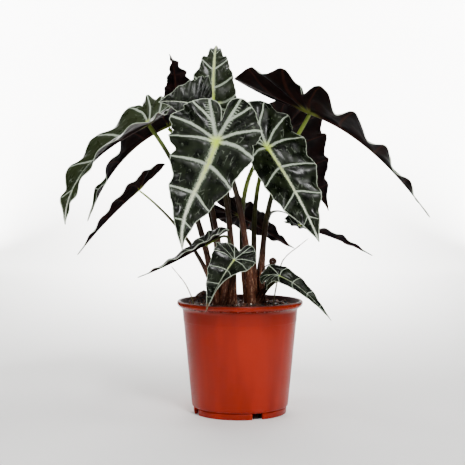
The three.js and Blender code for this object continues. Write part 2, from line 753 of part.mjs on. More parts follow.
const group = new THREE.Group();
group.name = "potted_alocasia";
group.add(makePot(), makeSoil());
for (const clump of Object.keys(CLUMPS)) group.add(makeCorm(clump));
for (const [name, leaf] of Object.entries(LEAVES)) {
  group.add(named(`blade_${name}`, bladeSolid(leaf), MATERIALS.blade));
  group.add(named(`petiole_${name}`, petioleSolid(leaf), MATERIALS.petiole));
}
for (const [name, stalk] of Object.entries(STALKS)) {
  group.add(named(`dry_stalk_${name}`, stalkSolid(stalk), MATERIALS.stalk));
}

export default group;
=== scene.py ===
"""A potted alocasia: fifteen arrow-shaped leaves with pale veins, on petioles that grow from two corms in
a moulded plastic nursery pot. Sizes are in millimetres and angles in degrees."""
import logging
import math
import random
from collections.abc import Sequence
from dataclasses import dataclass
from enum import Enum

import bpy
import numpy as np
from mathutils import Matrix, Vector, noise


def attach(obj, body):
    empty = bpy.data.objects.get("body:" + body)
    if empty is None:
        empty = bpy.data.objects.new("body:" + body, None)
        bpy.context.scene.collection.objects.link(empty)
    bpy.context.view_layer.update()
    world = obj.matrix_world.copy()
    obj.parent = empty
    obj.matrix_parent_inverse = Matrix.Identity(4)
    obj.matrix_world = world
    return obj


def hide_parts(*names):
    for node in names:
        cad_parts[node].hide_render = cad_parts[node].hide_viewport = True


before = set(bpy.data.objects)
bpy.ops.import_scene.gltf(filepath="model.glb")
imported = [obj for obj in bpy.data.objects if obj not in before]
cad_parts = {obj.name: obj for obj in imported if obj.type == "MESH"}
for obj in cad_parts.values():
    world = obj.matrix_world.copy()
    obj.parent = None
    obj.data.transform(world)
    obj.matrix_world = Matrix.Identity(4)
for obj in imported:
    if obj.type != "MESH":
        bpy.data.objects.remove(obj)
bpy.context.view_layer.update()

LOG = logging.getLogger("alocasia")
MM = 0.001
BODY = "root"
PETIOLE_FOOT = 149.0  # the height at which the petioles leave their corm
STREAK_LENGTH = 20.0  # of the streaks in a petiole's skin

Piece, Material, Socket, Array = bpy.types.Object, bpy.types.Material, bpy.types.NodeSocket, np.ndarray
Along = float | tuple[float, ...]  # one value, or those at the ends, or at the start, halfway and the end
Point = tuple[float, float]  # x and y, or radius and height
Spot = tuple[float, float, float]  # x, y and z
Corner = tuple[float, float, float]  # radius, height and rounding


class Slot(Enum):
    """The record's material slots."""

    POT = "pot"
    SOIL = "soil"
    CORM = "corm"
    BLADE = "blade"
    PETIOLE = "petiole"
    DRY_STALK = "dry_stalk"


class Clump(Enum):
    """The two corms, each with where it stands, how far out its petioles stand, and how many do."""

    LEFT = ("left", (-21, -8), 12.6, 7)
    RIGHT = ("right", (20, 4), 10.6, 6)

    def __init__(self, label: str, at: Point, ring_radius: float, ring_count: int) -> None:
        """Give the member's values their names.

        Args:
            label: the name that its pieces share.
            at: x and y of its axis.
            ring_radius: how far from the axis the petioles stand.
            ring_count: how many places there are round it.
        """
        self.label, self.at, self.ring_radius, self.ring_count = label, at, ring_radius, ring_count

    def slot_place(self, slot: int) -> Point:
        """Find where a petiole grows.

        Args:
            slot: 0 for the clump's middle, and from 1 for the others round it.

        Returns:
            Its x and y.
        """
        x, y = self.at
        if slot == 0:
            return x, y
        angle = math.radians(360 / self.ring_count * (slot - 1))
        return x + self.ring_radius * math.cos(angle), y + self.ring_radius * math.sin(angle)


# -------------------- numbers


def linear(hex_colour: str) -> tuple[float, float, float, float]:
    """Turn an sRGB hex colour into the linear colour that a shader takes.

    Args:
        hex_colour: # and six hex digits.

    Returns:
        Linear red, green and blue, and an alpha of 1.
    """
    shares = [int(hex_colour[i : i + 2], 16) / 255 for i in (1, 3, 5)]
    flat = [s / 12.92 if s <= 0.04045 else ((s + 0.055) / 1.055) ** 2.4 for s in shares]
    return (flat[0], flat[1], flat[2], 1.0)


def along(values: Along, t: Array) -> Array:
    """Read a value at shares t of the way.

    Args:
        values: one value, the two at the ends, or those at the start, halfway and the end.
        t: shares of the way, 0 at the start and 1 at the end.

    Returns:
        One value for each share.
    """
    if isinstance(values, (int, float)):
        return np.full_like(t, float(values))
    if len(values) == 2:
        return values[0] + (values[1] - values[0]) * t
    start, middle, end = values
    return start * (1 - t) * (1 - 2 * t) + middle * 4 * t * (1 - t) + end * t * (2 * t - 1)


def ease(low: float, high: float, x: Array) -> Array:
    """Rise smoothly from 0 at low to 1 at high.

    Args:
        low: where the rise starts.
        high: where it ends.
        x: the values to read it at.

    Returns:
        Shares between 0 and 1.
    """
    share = np.clip((x - low) / (high - low), 0, 1)
    return share * share * (3 - 2 * share)


def unit(vectors: Array) -> Array:
    """Scale each row to length 1."""
    return vectors / np.linalg.norm(vectors, axis=-1, keepdims=True)


def rough_field(points: Array, size: float, seed: float, detail: int = 2) -> Array:
    """Smooth noise between about -1 and 1, at points in space.

    Args:
        points: rows of x, y and z in mm.
        size: how wide a blob is, in mm.
        seed: which noise is read.
        detail: how many finer noises are laid over it.

    Returns:
        One value for each point.
    """
    shift = Vector((seed, -seed, seed * 0.7))
    return np.array([noise.fractal(Vector(p) / size + shift, 0.9, 2.0, detail) for p in points.tolist()])


def smooth_line(corners: Array, place: Array) -> Array:
    """Run a smooth line through corners.

    Args:
        corners: the points that the line goes through, in rows.
        place: places on it, counted in corners from 0.

    Returns:
        One point for each place.
    """
    last = len(corners) - 1
    i = np.clip(place.astype(int), 0, last - 1)
    w = (place - i)[:, None]
    p0, p1, p2, p3 = (corners[np.clip(i + k, 0, last)] for k in (-1, 0, 1, 2))
    v0, v1 = (p2 - p0) / 2, (p3 - p1) / 2
    return (2 * p1 - 2 * p2 + v0 + v1) * w**3 + (3 * p2 - 3 * p1 - 2 * v0 - v1) * w**2 + v0 * w + p1


# -------------------- meshes


def deselect() -> None:
    """Leave nothing selected, so that the next operator acts on its own piece only."""
    bpy.ops.object.select_all(action="DESELECT")


def pick(piece: Piece) -> None:
    """Select one piece alone and make it the active one.

    Args:
        piece: the object that the next operator acts on.
    """
    deselect()
    piece.select_set(True)
    bpy.context.view_layer.objects.active = piece


def coordinates(piece: Piece) -> Array:
    """Read a mesh's vertices.

    Args:
        piece: the object whose mesh is read.

    Returns:
        A row of x, y and z in mm for each vertex.
    """
    flat = np.empty(len(piece.data.vertices) * 3)
    piece.data.vertices.foreach_get("co", flat)
    return flat.reshape(-1, 3) / MM


def set_coordinates(piece: Piece, points: Array) -> None:
    """Move a mesh's vertices.

    Args:
        piece: the object whose mesh is shaped.
        points: a row of x, y and z in mm for each vertex.
    """
    piece.data.vertices.foreach_set("co", np.ascontiguousarray(points * MM).ravel())
    piece.data.update()


def set_attribute(piece: Piece, name: str, values: Array) -> None:
    """Store a number or a vector on each vertex, for the materials to read.

    Args:
        piece: the object that gets the attribute.
        name: the attribute's name.
        values: one number, or one row of three, for each vertex.
    """
    kind, key = ("FLOAT_VECTOR", "vector") if values.ndim == 2 else ("FLOAT", "value")
    piece.data.attributes.new(name, kind, "POINT").data.foreach_set(key, np.ascontiguousarray(values).ravel())


def take_attribute(piece: Piece, name: str) -> Array:
    """Read a number stored on each vertex, and remove it from the mesh.

    Args:
        piece: the object that has the attribute.
        name: the attribute's name.

    Returns:
        One number for each vertex.
    """
    attribute = piece.data.attributes[name]
    values = np.empty(len(piece.data.vertices))
    attribute.data.foreach_get("value", values)
    piece.data.attributes.remove(attribute)
    return values


def grid_sheet(name: str, rows: int, columns: int) -> tuple[Piece, Array, Array]:
    """Add a flat grid, to be shaped by moving its vertices.

    Args:
        name: name of the piece.
        rows: how many cells it has one way.
        columns: how many cells it has the other way.

    Returns:
        The object, and each vertex's share from 0 to 1 along the rows and along the columns.
    """
    deselect()
    bpy.ops.mesh.primitive_grid_add(x_subdivisions=rows, y_subdivisions=columns, size=2 * MM)
    piece = bpy.context.object
    piece.name = piece.data.name = name
    points = coordinates(piece)
    u, v = (np.round((points[:, i] + 1) / 2 * cells) / cells for i, cells in enumerate((rows, columns)))
    return piece, u, v


def weld(piece: Piece, gap: float = 0.02, closed: bool = True) -> None:
    """Merge vertices that lie on each other, which closes seams and poles.

    Args:
        piece: the object whose mesh is welded.
        gap: the widest gap that closes, in mm.
        closed: the mesh is a closed shell, and its faces are turned outwards.
    """
    pick(piece)
    bpy.ops.object.mode_set(mode="EDIT")
    bpy.ops.mesh.select_all(action="SELECT")
    bpy.ops.mesh.remove_doubles(threshold=gap * MM)
    if closed:
        bpy.ops.mesh.normals_make_consistent(inside=False)
    bpy.ops.object.mode_set(mode="OBJECT")


def apply_modifier(piece: Piece, kind: str, **settings: object) -> None:
    """Add a modifier and apply it at once.

    Args:
        piece: the object that is changed.
        kind: the modifier's type.
        **settings: the modifier's settings by name.
    """
    pick(piece)
    modifier = piece.modifiers.new(kind.lower(), kind)
    for key, value in settings.items():
        setattr(modifier, key, value)
    bpy.ops.object.modifier_apply(modifier=modifier.name)


def smooth_shading(piece: Piece, angle: float) -> None:
    """Shade a piece smoothly, but for edges sharper than an angle."""
    pick(piece)
    bpy.ops.object.shade_smooth_by_angle(angle=math.radians(angle))


def rounded(corners: Sequence[Corner], samples: int = 5) -> list[Point]:
    """Round the corners of a profile.

    Args:
        corners: radius from the axis, height and rounding of each corner.
        samples: how many points make a rounded corner.

    Returns:
        Radius and height of each point of the rounded profile.
    """
    points: list[Point] = []
    for i, (r, z, rounding) in enumerate(corners):
        here = np.array([r, z], float)
        if rounding == 0:
            points.append((r, z))
            continue
        before, after = (np.array(corners[j][:2]) - here for j in (i - 1, i + 1))
        reach = min(rounding, np.linalg.norm(before) * 0.48, np.linalg.norm(after) * 0.48)
        start, end = here + unit(before) * reach, here + unit(after) * reach
        for t in np.linspace(0, 1, samples):
            r, z = (1 - t) ** 2 * start + 2 * t * (1 - t) * here + t**2 * end
            points.append((float(r), float(z)))
    return points


def spun(name: str, profile: Sequence[Point], steps: int, at: Point = (0, 0)) -> Piece:
    """Turn a profile about an upright axis with the spin operator.

    Args:
        name: name of the piece.
        profile: radius and height of each point, from the axis round to the axis.
        steps: how many steps make the full turn.
        at: where the axis stands.

    Returns:
        A closed object.
    """
    deselect()
    bpy.ops.mesh.primitive_circle_add(vertices=len(profile), radius=MM, fill_type="NOTHING")
    piece = bpy.context.object
    piece.name = piece.data.name = name
    set_coordinates(piece, np.array([(at[0] + r, at[1], z) for r, z in profile]))
    bpy.ops.object.mode_set(mode="EDIT")
    bpy.ops.mesh.select_all(action="SELECT")
    centre = (at[0] * MM, at[1] * MM, 0)
    bpy.ops.mesh.spin(steps=steps, angle=2 * math.pi, center=centre, axis=(0, 0, 1))
    bpy.ops.object.mode_set(mode="OBJECT")
    weld(piece)
    return piece


def tube(name: str, line: Array, radii: Array, sides: int) -> tuple[Piece, Array, Array, Array]:
    """Wrap a grid round a line as a closed tube, whose ends run in to a pole.

    Args:
        name: name of the piece.
        line: the points that it follows, in rows.
        radii: its radius at each point.
        sides: how many faces go round it.

    Returns:
        The object, and for each vertex its place along the line from 0 to 1, its turn round it in radians,
        and its direction away from it.
    """
    line = np.vstack([line[:1], line, line[-1:]])
    radii = np.concatenate([[0], radii, [0]])
    piece, u, v = grid_sheet(name, len(line) - 1, sides)
    tangents = unit(np.gradient(line[1:-1], axis=0))
    tangents = np.vstack([tangents[:1], tangents, tangents[-1:]])
    across, frames = np.array([1.0, 0.0, 0.0]), []
    for tangent in tangents:
        across = unit(across - tangent * (across @ tangent))
        frames.append((across, np.cross(tangent, across)))
    frames = np.array(frames)
    index, turn = np.round(u * (len(line) - 1)).astype(int), v * 2 * math.pi
    out = frames[index, 0] * np.cos(turn)[:, None] + frames[index, 1] * np.sin(turn)[:, None]
    set_coordinates(piece, line[index] + out * radii[index][:, None])
    return piece, np.clip((index - 1) / (len(line) - 3), 0, 1), turn, out


def joined(pieces: Sequence[Piece], name: str) -> Piece:
    """Join several objects into one mesh.

    Args:
        pieces: the objects, the first of which is kept.
        name: name of the joined piece.

    Returns:
        The joined object.
    """
    pick(pieces[0])
    for piece in pieces:
        piece.select_set(True)
    bpy.ops.object.join()
    pieces[0].name = pieces[0].data.name = name
    return pieces[0]


def wrap_skin(stalk: Piece, turn: Array, rise: Array, green: Array) -> None:
    """Store what the petiole's skin reads.

    Args:
        stalk: the object that gets the attributes.
        turn: each vertex's turn round the stalk, in radians.
        rise: its height above the corm.
        green: how far its colour has turned from brown to green.
    """
    set_attribute(stalk, "skin", np.stack([np.cos(turn), np.sin(turn), rise / STREAK_LENGTH], axis=-1))
    set_attribute(stalk, "green", green)


def finish(
    piece: Piece, angle: float, slot: Slot, nodes: Sequence[str] = (), skin: Material | None = None
) -> None:
    """Dress a shaped piece, fix it to the plant's one body, and hide the solids that it replaces.

    Args:
        piece: the shaped object.
        angle: it is shaded smoothly, but for edges sharper than this.
        slot: not used.
        nodes: the solids that it replaces.
        skin: its material, unless it has its own already.
    """
    if skin:
        piece.data.materials.append(skin)
    smooth_shading(piece, angle)
    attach(piece, BODY)
    if nodes:
        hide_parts(*nodes)
    LOG.info("%s: %d vertices", piece.name, len(piece.data.vertices))


# -------------------- materials

# How nodes of a kind are set, unless a call says otherwise.
USUAL = {"MapRange": {"interpolation_type": "SMOOTHSTEP"}, "Mix": {"data_type": "RGBA"}}
# A Mix node's sockets for its share and its two colours, and that of the mixed colour.
MIX_INPUTS, MIX_OUTPUT = (0, 6, 7), 2
GLOSS_INPUTS = {"ior": "IOR", "specular": "Specular IOR Level"}


class Shader:
    """The node tree of one material."""

    def __init__(self, name: str) -> None:
        """Start an empty material.

        Args:
            name: the real material that it shows.
        """
        self.material = bpy.data.materials.new(name)
        self.material.use_nodes = True
        self.tree = self.material.node_tree
        self.tree.nodes.clear()

    def add(self, kind: str, inputs: Sequence | dict = (), out: int | str = 0, **settings: object) -> Socket:
        """Add a node with its settings, values and links.

        Args:
            kind: the node's type, less the word ShaderNode, and after a dot its operation.
            inputs: values, hex colours or sockets to link from, in order or by input name.
            out: which output is wanted.
            **settings: the node's properties by name.

        Returns:
            The output socket, or the node's first input where it has no output.
        """
        kind, _, operation = kind.partition(".")
        node = self.tree.nodes.new("ShaderNode" + kind)
        if operation:
            node.operation = operation
        for key, value in (USUAL.get(kind, {}) | settings).items():
            setattr(node, key, value)
        pairs = inputs.items() if isinstance(inputs, dict) else enumerate(inputs)
        for key, value in pairs:
            if isinstance(value, Socket):
                self.tree.links.new(value, node.inputs[key])
            elif value is not None:
                node.inputs[key].default_value = linear(value) if isinstance(value, str) else value
        return node.outputs[out] if node.outputs else node.inputs[0]

    def coats(self, base: Socket | str, *coats: tuple) -> Socket:
        """Lay coats of colour on a base, one over the other.

        Args:
            base: the colour below.
            *coats: for each, its colour, the mask that it follows, and then, unless the mask is its strength,
                the mask's values where it starts and ends, and if they aren't 0 and 1 its strength at each.

        Returns:
            The colour that shows.
        """
        for over, mask, *ramp in coats:
            share = self.add("MapRange", [mask, *ramp]) if ramp else mask
            base = self.add("Mix", dict(zip(MIX_INPUTS, (share, base, over))), MIX_OUTPUT)
        return base

    def close(
        self, colour: Socket | str, roughness: Socket | float, normal: Socket | None = None, **gloss: float
    ) -> Material:
        """End the tree with a Principled shader and an output.

        Args:
            colour: the base colour.
            roughness: how far the surface scatters a reflection.
            normal: the direction of its bumps, if it has any.
            **gloss: its ior and its specular level, where they aren't the shader's own.

        Returns:
            The finished material.
        """
        inputs = {"Base Color": colour, "Roughness": roughness, "Normal": normal}
        inputs |= {GLOSS_INPUTS[name]: value for name, value in gloss.items()}
        self.add("OutputMaterial", [self.add("BsdfPrincipled", inputs)])
        return self.material


@dataclass(frozen=True)
class Vein:
    """A straight vein of the standard blade: its ends, and its half width at each."""

    start: tuple[float, float]
    end: tuple[float, float]
    half_width: tuple[float, float]


# The standard blade is 150 mm from junction to tip and 60 mm from midrib to margin, and a smaller leaf has
# the same veins, scaled down with it. Places on it are x along the midrib and y across it.
STANDARD = (150.0, 60.0)
MIDRIB = Vein((-2, 0), (148, 0), (6.4, 1.9))
LATERALS = (
    Vein((110, 0), (114, 10.8), (1.8, 0.9)),
    Vein((71.7, 0), (81, 28.8), (2.7, 1.3)),
    Vein((31.7, 0), (43.5, 43.8), (3.2, 1.5)),
    Vein((-1, 0), (9, 56.4), (3.2, 1.5)),
    Vein((-3, 1), (-24, 60), (3.2, 1.5)),
    Vein((-2, 0), (-61.5, 21.6), (4.2, 1.7)),
    Vein((-25.5, 8.5), (-49.5, 40.8), (2.7, 1.3)),
)
BOW = 4.0  # how far a vein bows back, halfway to the margin, before it turns towards the tip


def bowed(x: Array, y: Array) -> Array:
    """Straighten the bow of the side veins: where x would be if the veins were straight, in mm."""
    out = np.abs(y) / STANDARD[1]
    return x + 4 * BOW * out * (1 - out)


def vein_gap(x: Array, y: Array) -> Array:
    """How far places on the standard blade are from the nearest vein.

    Args:
        x: places along the midrib, in mm.
        y: places across it, in mm.

    Returns:
        Distances in mm.
    """
    points = np.stack([x, np.abs(y)], axis=-1)
    gaps = []
    for vein in (MIDRIB, *LATERALS):
        start, run = np.array(vein.start, float), np.array(vein.end, float) - vein.start
        at = np.clip((points - start) @ run / (run @ run), 0, 1)
        gaps.append(np.linalg.norm(points - start - at[:, None] * run, axis=1))
    return np.min(gaps, axis=0)


@dataclass(frozen=True)
class LeafSkin:
    """What the two faces of a leaf share: the lay of the veins and the wander that keeps them from being
    ruled lines."""

    def lay(self, shader: Shader) -> tuple[Socket, Socket, Socket]:
        """Read the place on the standard blade.

        Args:
            shader: the tree that is built.

        Returns:
            The raw place, the wandered and folded place, and the distance to the margin, in mm.
        """
        add = shader.add
        raw = add("Attribute", out="Vector", attribute_name="leaf_place")
        x, y, margin = add("SeparateXYZ", [raw]).node.outputs
        # The veins wander by up to 1.8 mm, in curves about 19 mm long.
        wander = add("TexNoise", {"Vector": raw, "Scale": 1 / 19, "Detail": 1.5}, out="Color")
        shift = add("SeparateXYZ", [wander])
        x = add("Math.ADD", [x, add("Math.MULTIPLY_ADD", [shift, 3.6, -1.8])])
        y = add("Math.ABSOLUTE", [y])
        out = add("Math.MULTIPLY_ADD", [y, -1 / STANDARD[1], 1])
        bow = add("Math.MULTIPLY", [y, 4 * BOW / STANDARD[1]])
        return raw, add("CombineXYZ", [add("Math.MULTIPLY_ADD", [bow, out, x]), y]), margin

    def nearness(self, shader: Shader, point: Socket, veins: Sequence[Vein]) -> Socket:
        """Distance to the nearest of some veins, as a share of its half width there.

        Args:
            shader: the tree that is built.
            point: the place on the standard blade.
            veins: the veins.

        Returns:
            0 on a vein's middle line, 1 at its edge, and more beyond.
        """
        add, nearest = shader.add, None
        for vein in veins:
            start, run = np.array(vein.start, float), np.array(vein.end, float) - vein.start
            share = run / float(run @ run)
            off = add("VectorMath.SUBTRACT", [point, (*start, 0)])
            at = add("VectorMath.DOT_PRODUCT", [off, (*share, 0)], out=1)
            at = add("Clamp", [at, 0, 1])
            foot = add("VectorMath.SCALE", {0: (*run, 0), "Scale": at})
            gap = add("VectorMath.DISTANCE", [off, foot], out=1)
            first, last = vein.half_width
            width = add("Math.MULTIPLY_ADD", [at, last - first, first])
            ratio = add("Math.DIVIDE", [gap, width])
            nearest = ratio if nearest is None else add("Math.MINIMUM", [nearest, ratio])
        width = add("Attribute", out="Fac", attribute_name="vein_width")
        return add("Math.DIVIDE", [nearest, width])


@dataclass(frozen=True)
class UpperLeafSkin(LeafSkin):
    """The waxy upper skin of an alocasia leaf, grown and not made: a thin smooth cuticle over nearly black
    green tissue, seen as a satin sheen that breaks up over the quilted surface."""

    name: str = "waxy leaf cuticle, upper face"
    dark: str = "#050903"
    light: str = "#192010"
    beside_vein: str = "#1f2a16"
    pale: str = "#3b4526"
    vein: str = "#a9b4a1"
    vein_core: str = "#e4ead4"
    midrib: str = "#b9cd54"
    junction: str = "#c2de1a"
    margin: str = "#b6c1ac"
    dry: str = "#6a4626"
    net_strength: float = 0.26
    roughness: float = 0.29

    def comb(self, shader: Shader, point: Socket, fray: Socket) -> Socket:
        """Draw the comb of short veins that stands on the notch side of each hind lobe's rib.

        Args:
            shader: the tree that is built.
            point: the place on the standard blade.
            fray: noise that keeps the teeth uneven.

        Returns:
            1 on a tooth and 0 off it.
        """
        add = shader.add
        rib = LATERALS[5]
        run = np.array(rib.end, float) - rib.start
        run = run / np.linalg.norm(run)
        off = add("VectorMath.SUBTRACT", [point, (*rib.start, 0)])
        down = add("VectorMath.DOT_PRODUCT", [off, (*run, 0)], out=1)
        aside = add("VectorMath.DOT_PRODUCT", [off, (run[1], -run[0], 0)], out=1)
        aside = add("Math.ABSOLUTE", [aside])
        teeth = add("Math.MULTIPLY_ADD", [fray, 0.9, add("Math.DIVIDE", [down, 3.6])])
        teeth = add("Math.SUBTRACT", [add("Math.FRACT", [teeth]), 0.5])
        tooth = add("MapRange", [add("Math.ABSOLUTE", [teeth]), 0.08, 0.24, 0.8, 0])
        for value, low, high, near, far in ((aside, 5, 9, 1, 0), (down, 12, 20, 0, 1), (down, 46, 58, 1, 0)):
            shown = add("MapRange", [value, low, high, near, far])
            tooth = add("Math.MULTIPLY", [tooth, shown])
        inner = add("VectorMath.DOT_PRODUCT", [off, (-run[1], run[0], 0)], out=1)
        inner = add("MapRange", [inner, -1, 1, 1, 0], interpolation_type="LINEAR")
        tooth = add("Math.MULTIPLY", [tooth, inner])
        # Only a big leaf has one.
        width = add("Attribute", out="Fac", attribute_name="vein_width")
        return add("Math.MULTIPLY", [tooth, add("MapRange", [width, 0.7, 0.95], interpolation_type="LINEAR")])

    def material(self) -> Material:
        """Build the material.

        Returns:
            The material.
        """
        shader = Shader(self.name)
        add = shader.add
        raw, place, margin = self.lay(shader)
        # Veins end in a frayed edge, about 2 mm of feathering.
        fray = add("TexNoise", {"Vector": raw, "Scale": 0.6, "Detail": 3})
        frayed = add("Math.MULTIPLY_ADD", [fray, 1.5, -0.72])
        rib = add("Math.MULTIPLY_ADD", [frayed, 1.3, self.nearness(shader, place, [MIDRIB])])
        faint = add("Math.MULTIPLY_ADD", [add("Attribute", out="Fac", attribute_name="side_veins"), -2, 2])
        frayed = add("Math.ADD", [frayed, faint])
        lateral = add("Math.ADD", [self.nearness(shader, place, LATERALS), frayed])
        nearest = add("Math.MINIMUM", [rib, lateral])
        # The cross veins are a net with meshes of 4 to 9 mm, of which only stretches show.
        stretched = add("Mapping", {"Vector": raw, "Scale": (0.62, 1, 0)})
        meshes = add("TexVoronoi", {"Vector": stretched, "Scale": 1 / 6.5}, feature="DISTANCE_TO_EDGE")
        patch = add("TexNoise", {"Vector": raw, "Scale": 1 / 10, "Detail": 1})
        shown = add("MapRange", [patch, 0.52, 0.7, 0, self.net_strength])
        net = add("Math.MULTIPLY", [add("MapRange", [meshes, 0, 0.07, 1, 0]), shown])
        # The tissue is blotched with lighter green, 14 mm wide.
        spot = add("TexCoord", out="Object")
        blotch = add("TexNoise", {"Vector": spot, "Scale": 1 / (14 * MM), "Detail": 3})
        tissue = shader.coats(
            self.dark,
            (self.light, blotch, 0.35, 0.7),
            (self.pale, add("Attribute", out="Fac", attribute_name="paleness")),
            (self.beside_vein, nearest, 0.9, 2.6, 0.75, 0),
            (self.vein, net),
        )
        # The yellow-green of the petiole fills the junction and runs on in the middle of the midrib.
        core = add("MapRange", [rib, 0.1, 0.9, 1, 0])
        reach = add("Attribute", out="Fac", attribute_name="yellow_reach")
        from_junction = add("Math.DIVIDE", [add("VectorMath.LENGTH", [place], out=1), reach])
        yellow = add("Math.MULTIPLY", [add("MapRange", [from_junction, 20, 110, 0.95, 0]), core])
        veins = shader.coats(
            self.vein,
            (self.vein_core, core),
            (self.midrib, yellow),
            (self.junction, from_junction, 1, 13, 0.9, 0),
        )
        vein = add("MapRange", [nearest, 0.3, 1.2, 1, 0])
        vein = add("Math.MAXIMUM", [vein, self.comb(shader, place, fray)])
        edge = add("Math.MULTIPLY_ADD", [fray, 1.2, margin])
        dry = add("Attribute", out="Fac", attribute_name="dry")
        dry = add("Math.MULTIPLY", [dry, add("MapRange", [fray, 0.3, 0.6, 0.6, 1])])
        colour = shader.coats(tissue, (veins, vein), (self.margin, edge, 0.9, 1.8, 0.9, 0), (self.dry, dry))
        # Skin cells are far under 1 mm, and are drawn 1.6 mm wide so that they break up the sheen.
        cells = add("TexNoise", {"Vector": spot, "Scale": 1 / (1.6 * MM), "Detail": 2})
        normal = add("Bump", {"Height": cells, "Distance": 0.05 * MM})
        sunken = add("MapRange", [nearest, 0.3, 2.2])
        normal = add("Bump", {"Height": sunken, "Distance": 0.5 * MM, "Normal": normal})
        sheen = add("MapRange", [blotch, 0.3, 0.75, self.roughness - 0.05, self.roughness + 0.09])
        return shader.close(
            colour, add("Math.MULTIPLY_ADD", [vein, 0.12, sheen]), normal, ior=1.45, specular=0.24
        )


@dataclass(frozen=True)
class UnderLeafSkin(LeafSkin):
    """The matt underside of the leaf: maroon tissue, with ribs that stand out and catch the light."""

    name: str = "matt leaf cuticle, underside"
    dark: str = "#060102"
    light: str = "#160605"
    vein: str = "#2a120c"
    junction: str = "#5f682a"
    margin: str = "#241c14"
    roughness: float = 0.5

    def material(self) -> Material:
        """Build the material.

        Returns:
            The material.
        """
        shader = Shader(self.name)
        add = shader.add
        raw, place, margin = self.lay(shader)
        spot = add("TexCoord", out="Object")
        blotch = add("TexNoise", {"Vector": spot, "Scale": 1 / (18 * MM), "Detail": 3})
        tissue = shader.coats(self.dark, (self.light, blotch, 0.35, 0.7))
        from_junction = add("VectorMath.LENGTH", [place], out=1)
        ribs = shader.coats(self.vein, (self.junction, from_junction, 2, 16, 1, 0))
        nearest = self.nearness(shader, place, [MIDRIB, *LATERALS])
        fray = add("TexNoise", {"Vector": raw, "Scale": 0.45, "Detail": 2})
        edge = add("Math.MULTIPLY_ADD", [fray, 1.2, margin])
        colour = shader.coats(
            tissue, (ribs, nearest, 0.25, 0.85, 0.85, 0), (self.margin, edge, 0.9, 1.7, 0.6, 0)
        )
        # The down that makes it matt is far under 1 mm, and is drawn 2 mm wide so that it shows.
        grain = add("TexNoise", {"Vector": spot, "Scale": 1 / (2 * MM), "Detail": 3})
        normal = add("Bump", {"Height": grain, "Distance": 0.1 * MM})
        rough = add("MapRange", [blotch, 0.3, 0.75, self.roughness - 0.05, self.roughness + 0.1])
        return shader.close(colour, rough, normal, specular=0.08)


@dataclass(frozen=True)
class PetioleSkin:
    """The skin of a fleshy leaf stalk, smooth and faintly ribbed lengthwise, which gives long satin lights.
    It is streaked red-brown where it sheathes the corm, and turns through olive to yellow-green above."""

    name: str = "fleshy petiole skin"
    base: str = "#57301f"
    streak: str = "#98725c"
    brown: str = "#2c170c"
    olive: str = "#34351a"
    green: str = "#6f8030"
    roughness: float = 0.4

    def material(self) -> Material:
        """Build the material.

        Returns:
            The material.
        """
        shader = Shader(self.name)
        add = shader.add
        # The skin attribute is the cosine and sine of the turn round the stalk, and the height against a
        # streak's length, so that a streak is about 1.5 mm wide and 20 mm long.
        skin = add("Attribute", out="Vector", attribute_name="skin")
        green = add("Attribute", out="Fac", attribute_name="green")
        streaks = add("TexNoise", {"Vector": skin, "Scale": 3.2, "Detail": 3})
        mottle = add(
            "TexNoise", {"Vector": add("TexCoord", out="Object"), "Scale": 1 / (5 * MM), "Detail": 3}
        )
        colour = shader.coats(
            self.base,
            (self.streak, streaks, 0.5, 0.66),
            (self.brown, mottle, 0.48, 0.72, 0, 0.6),
            (self.brown, green, 0.12, 0.4),
            (self.olive, add("Math.MULTIPLY_ADD", [streaks, 0.3, green]), 0.5, 0.85),
            (self.green, add("Math.MULTIPLY_ADD", [mottle, 0.15, green]), 0.86, 1.08),
        )
        # The ribs of the skin run on for five times a streak's length.
        ribbed = add("Mapping", {"Vector": skin, "Scale": (1, 1, 0.2)})
        ribs = add("TexNoise", {"Vector": ribbed, "Scale": 6, "Detail": 2})
        normal = add("Bump", {"Height": ribs, "Distance": 0.35 * MM})
        normal = add("Bump", {"Height": streaks, "Distance": 0.2 * MM, "Normal": normal})
        rough = add("MapRange", [streaks, 0.3, 0.7, self.roughness - 0.05, self.roughness + 0.12])
        return shader.close(colour, rough, normal, ior=1.42, specular=0.28)


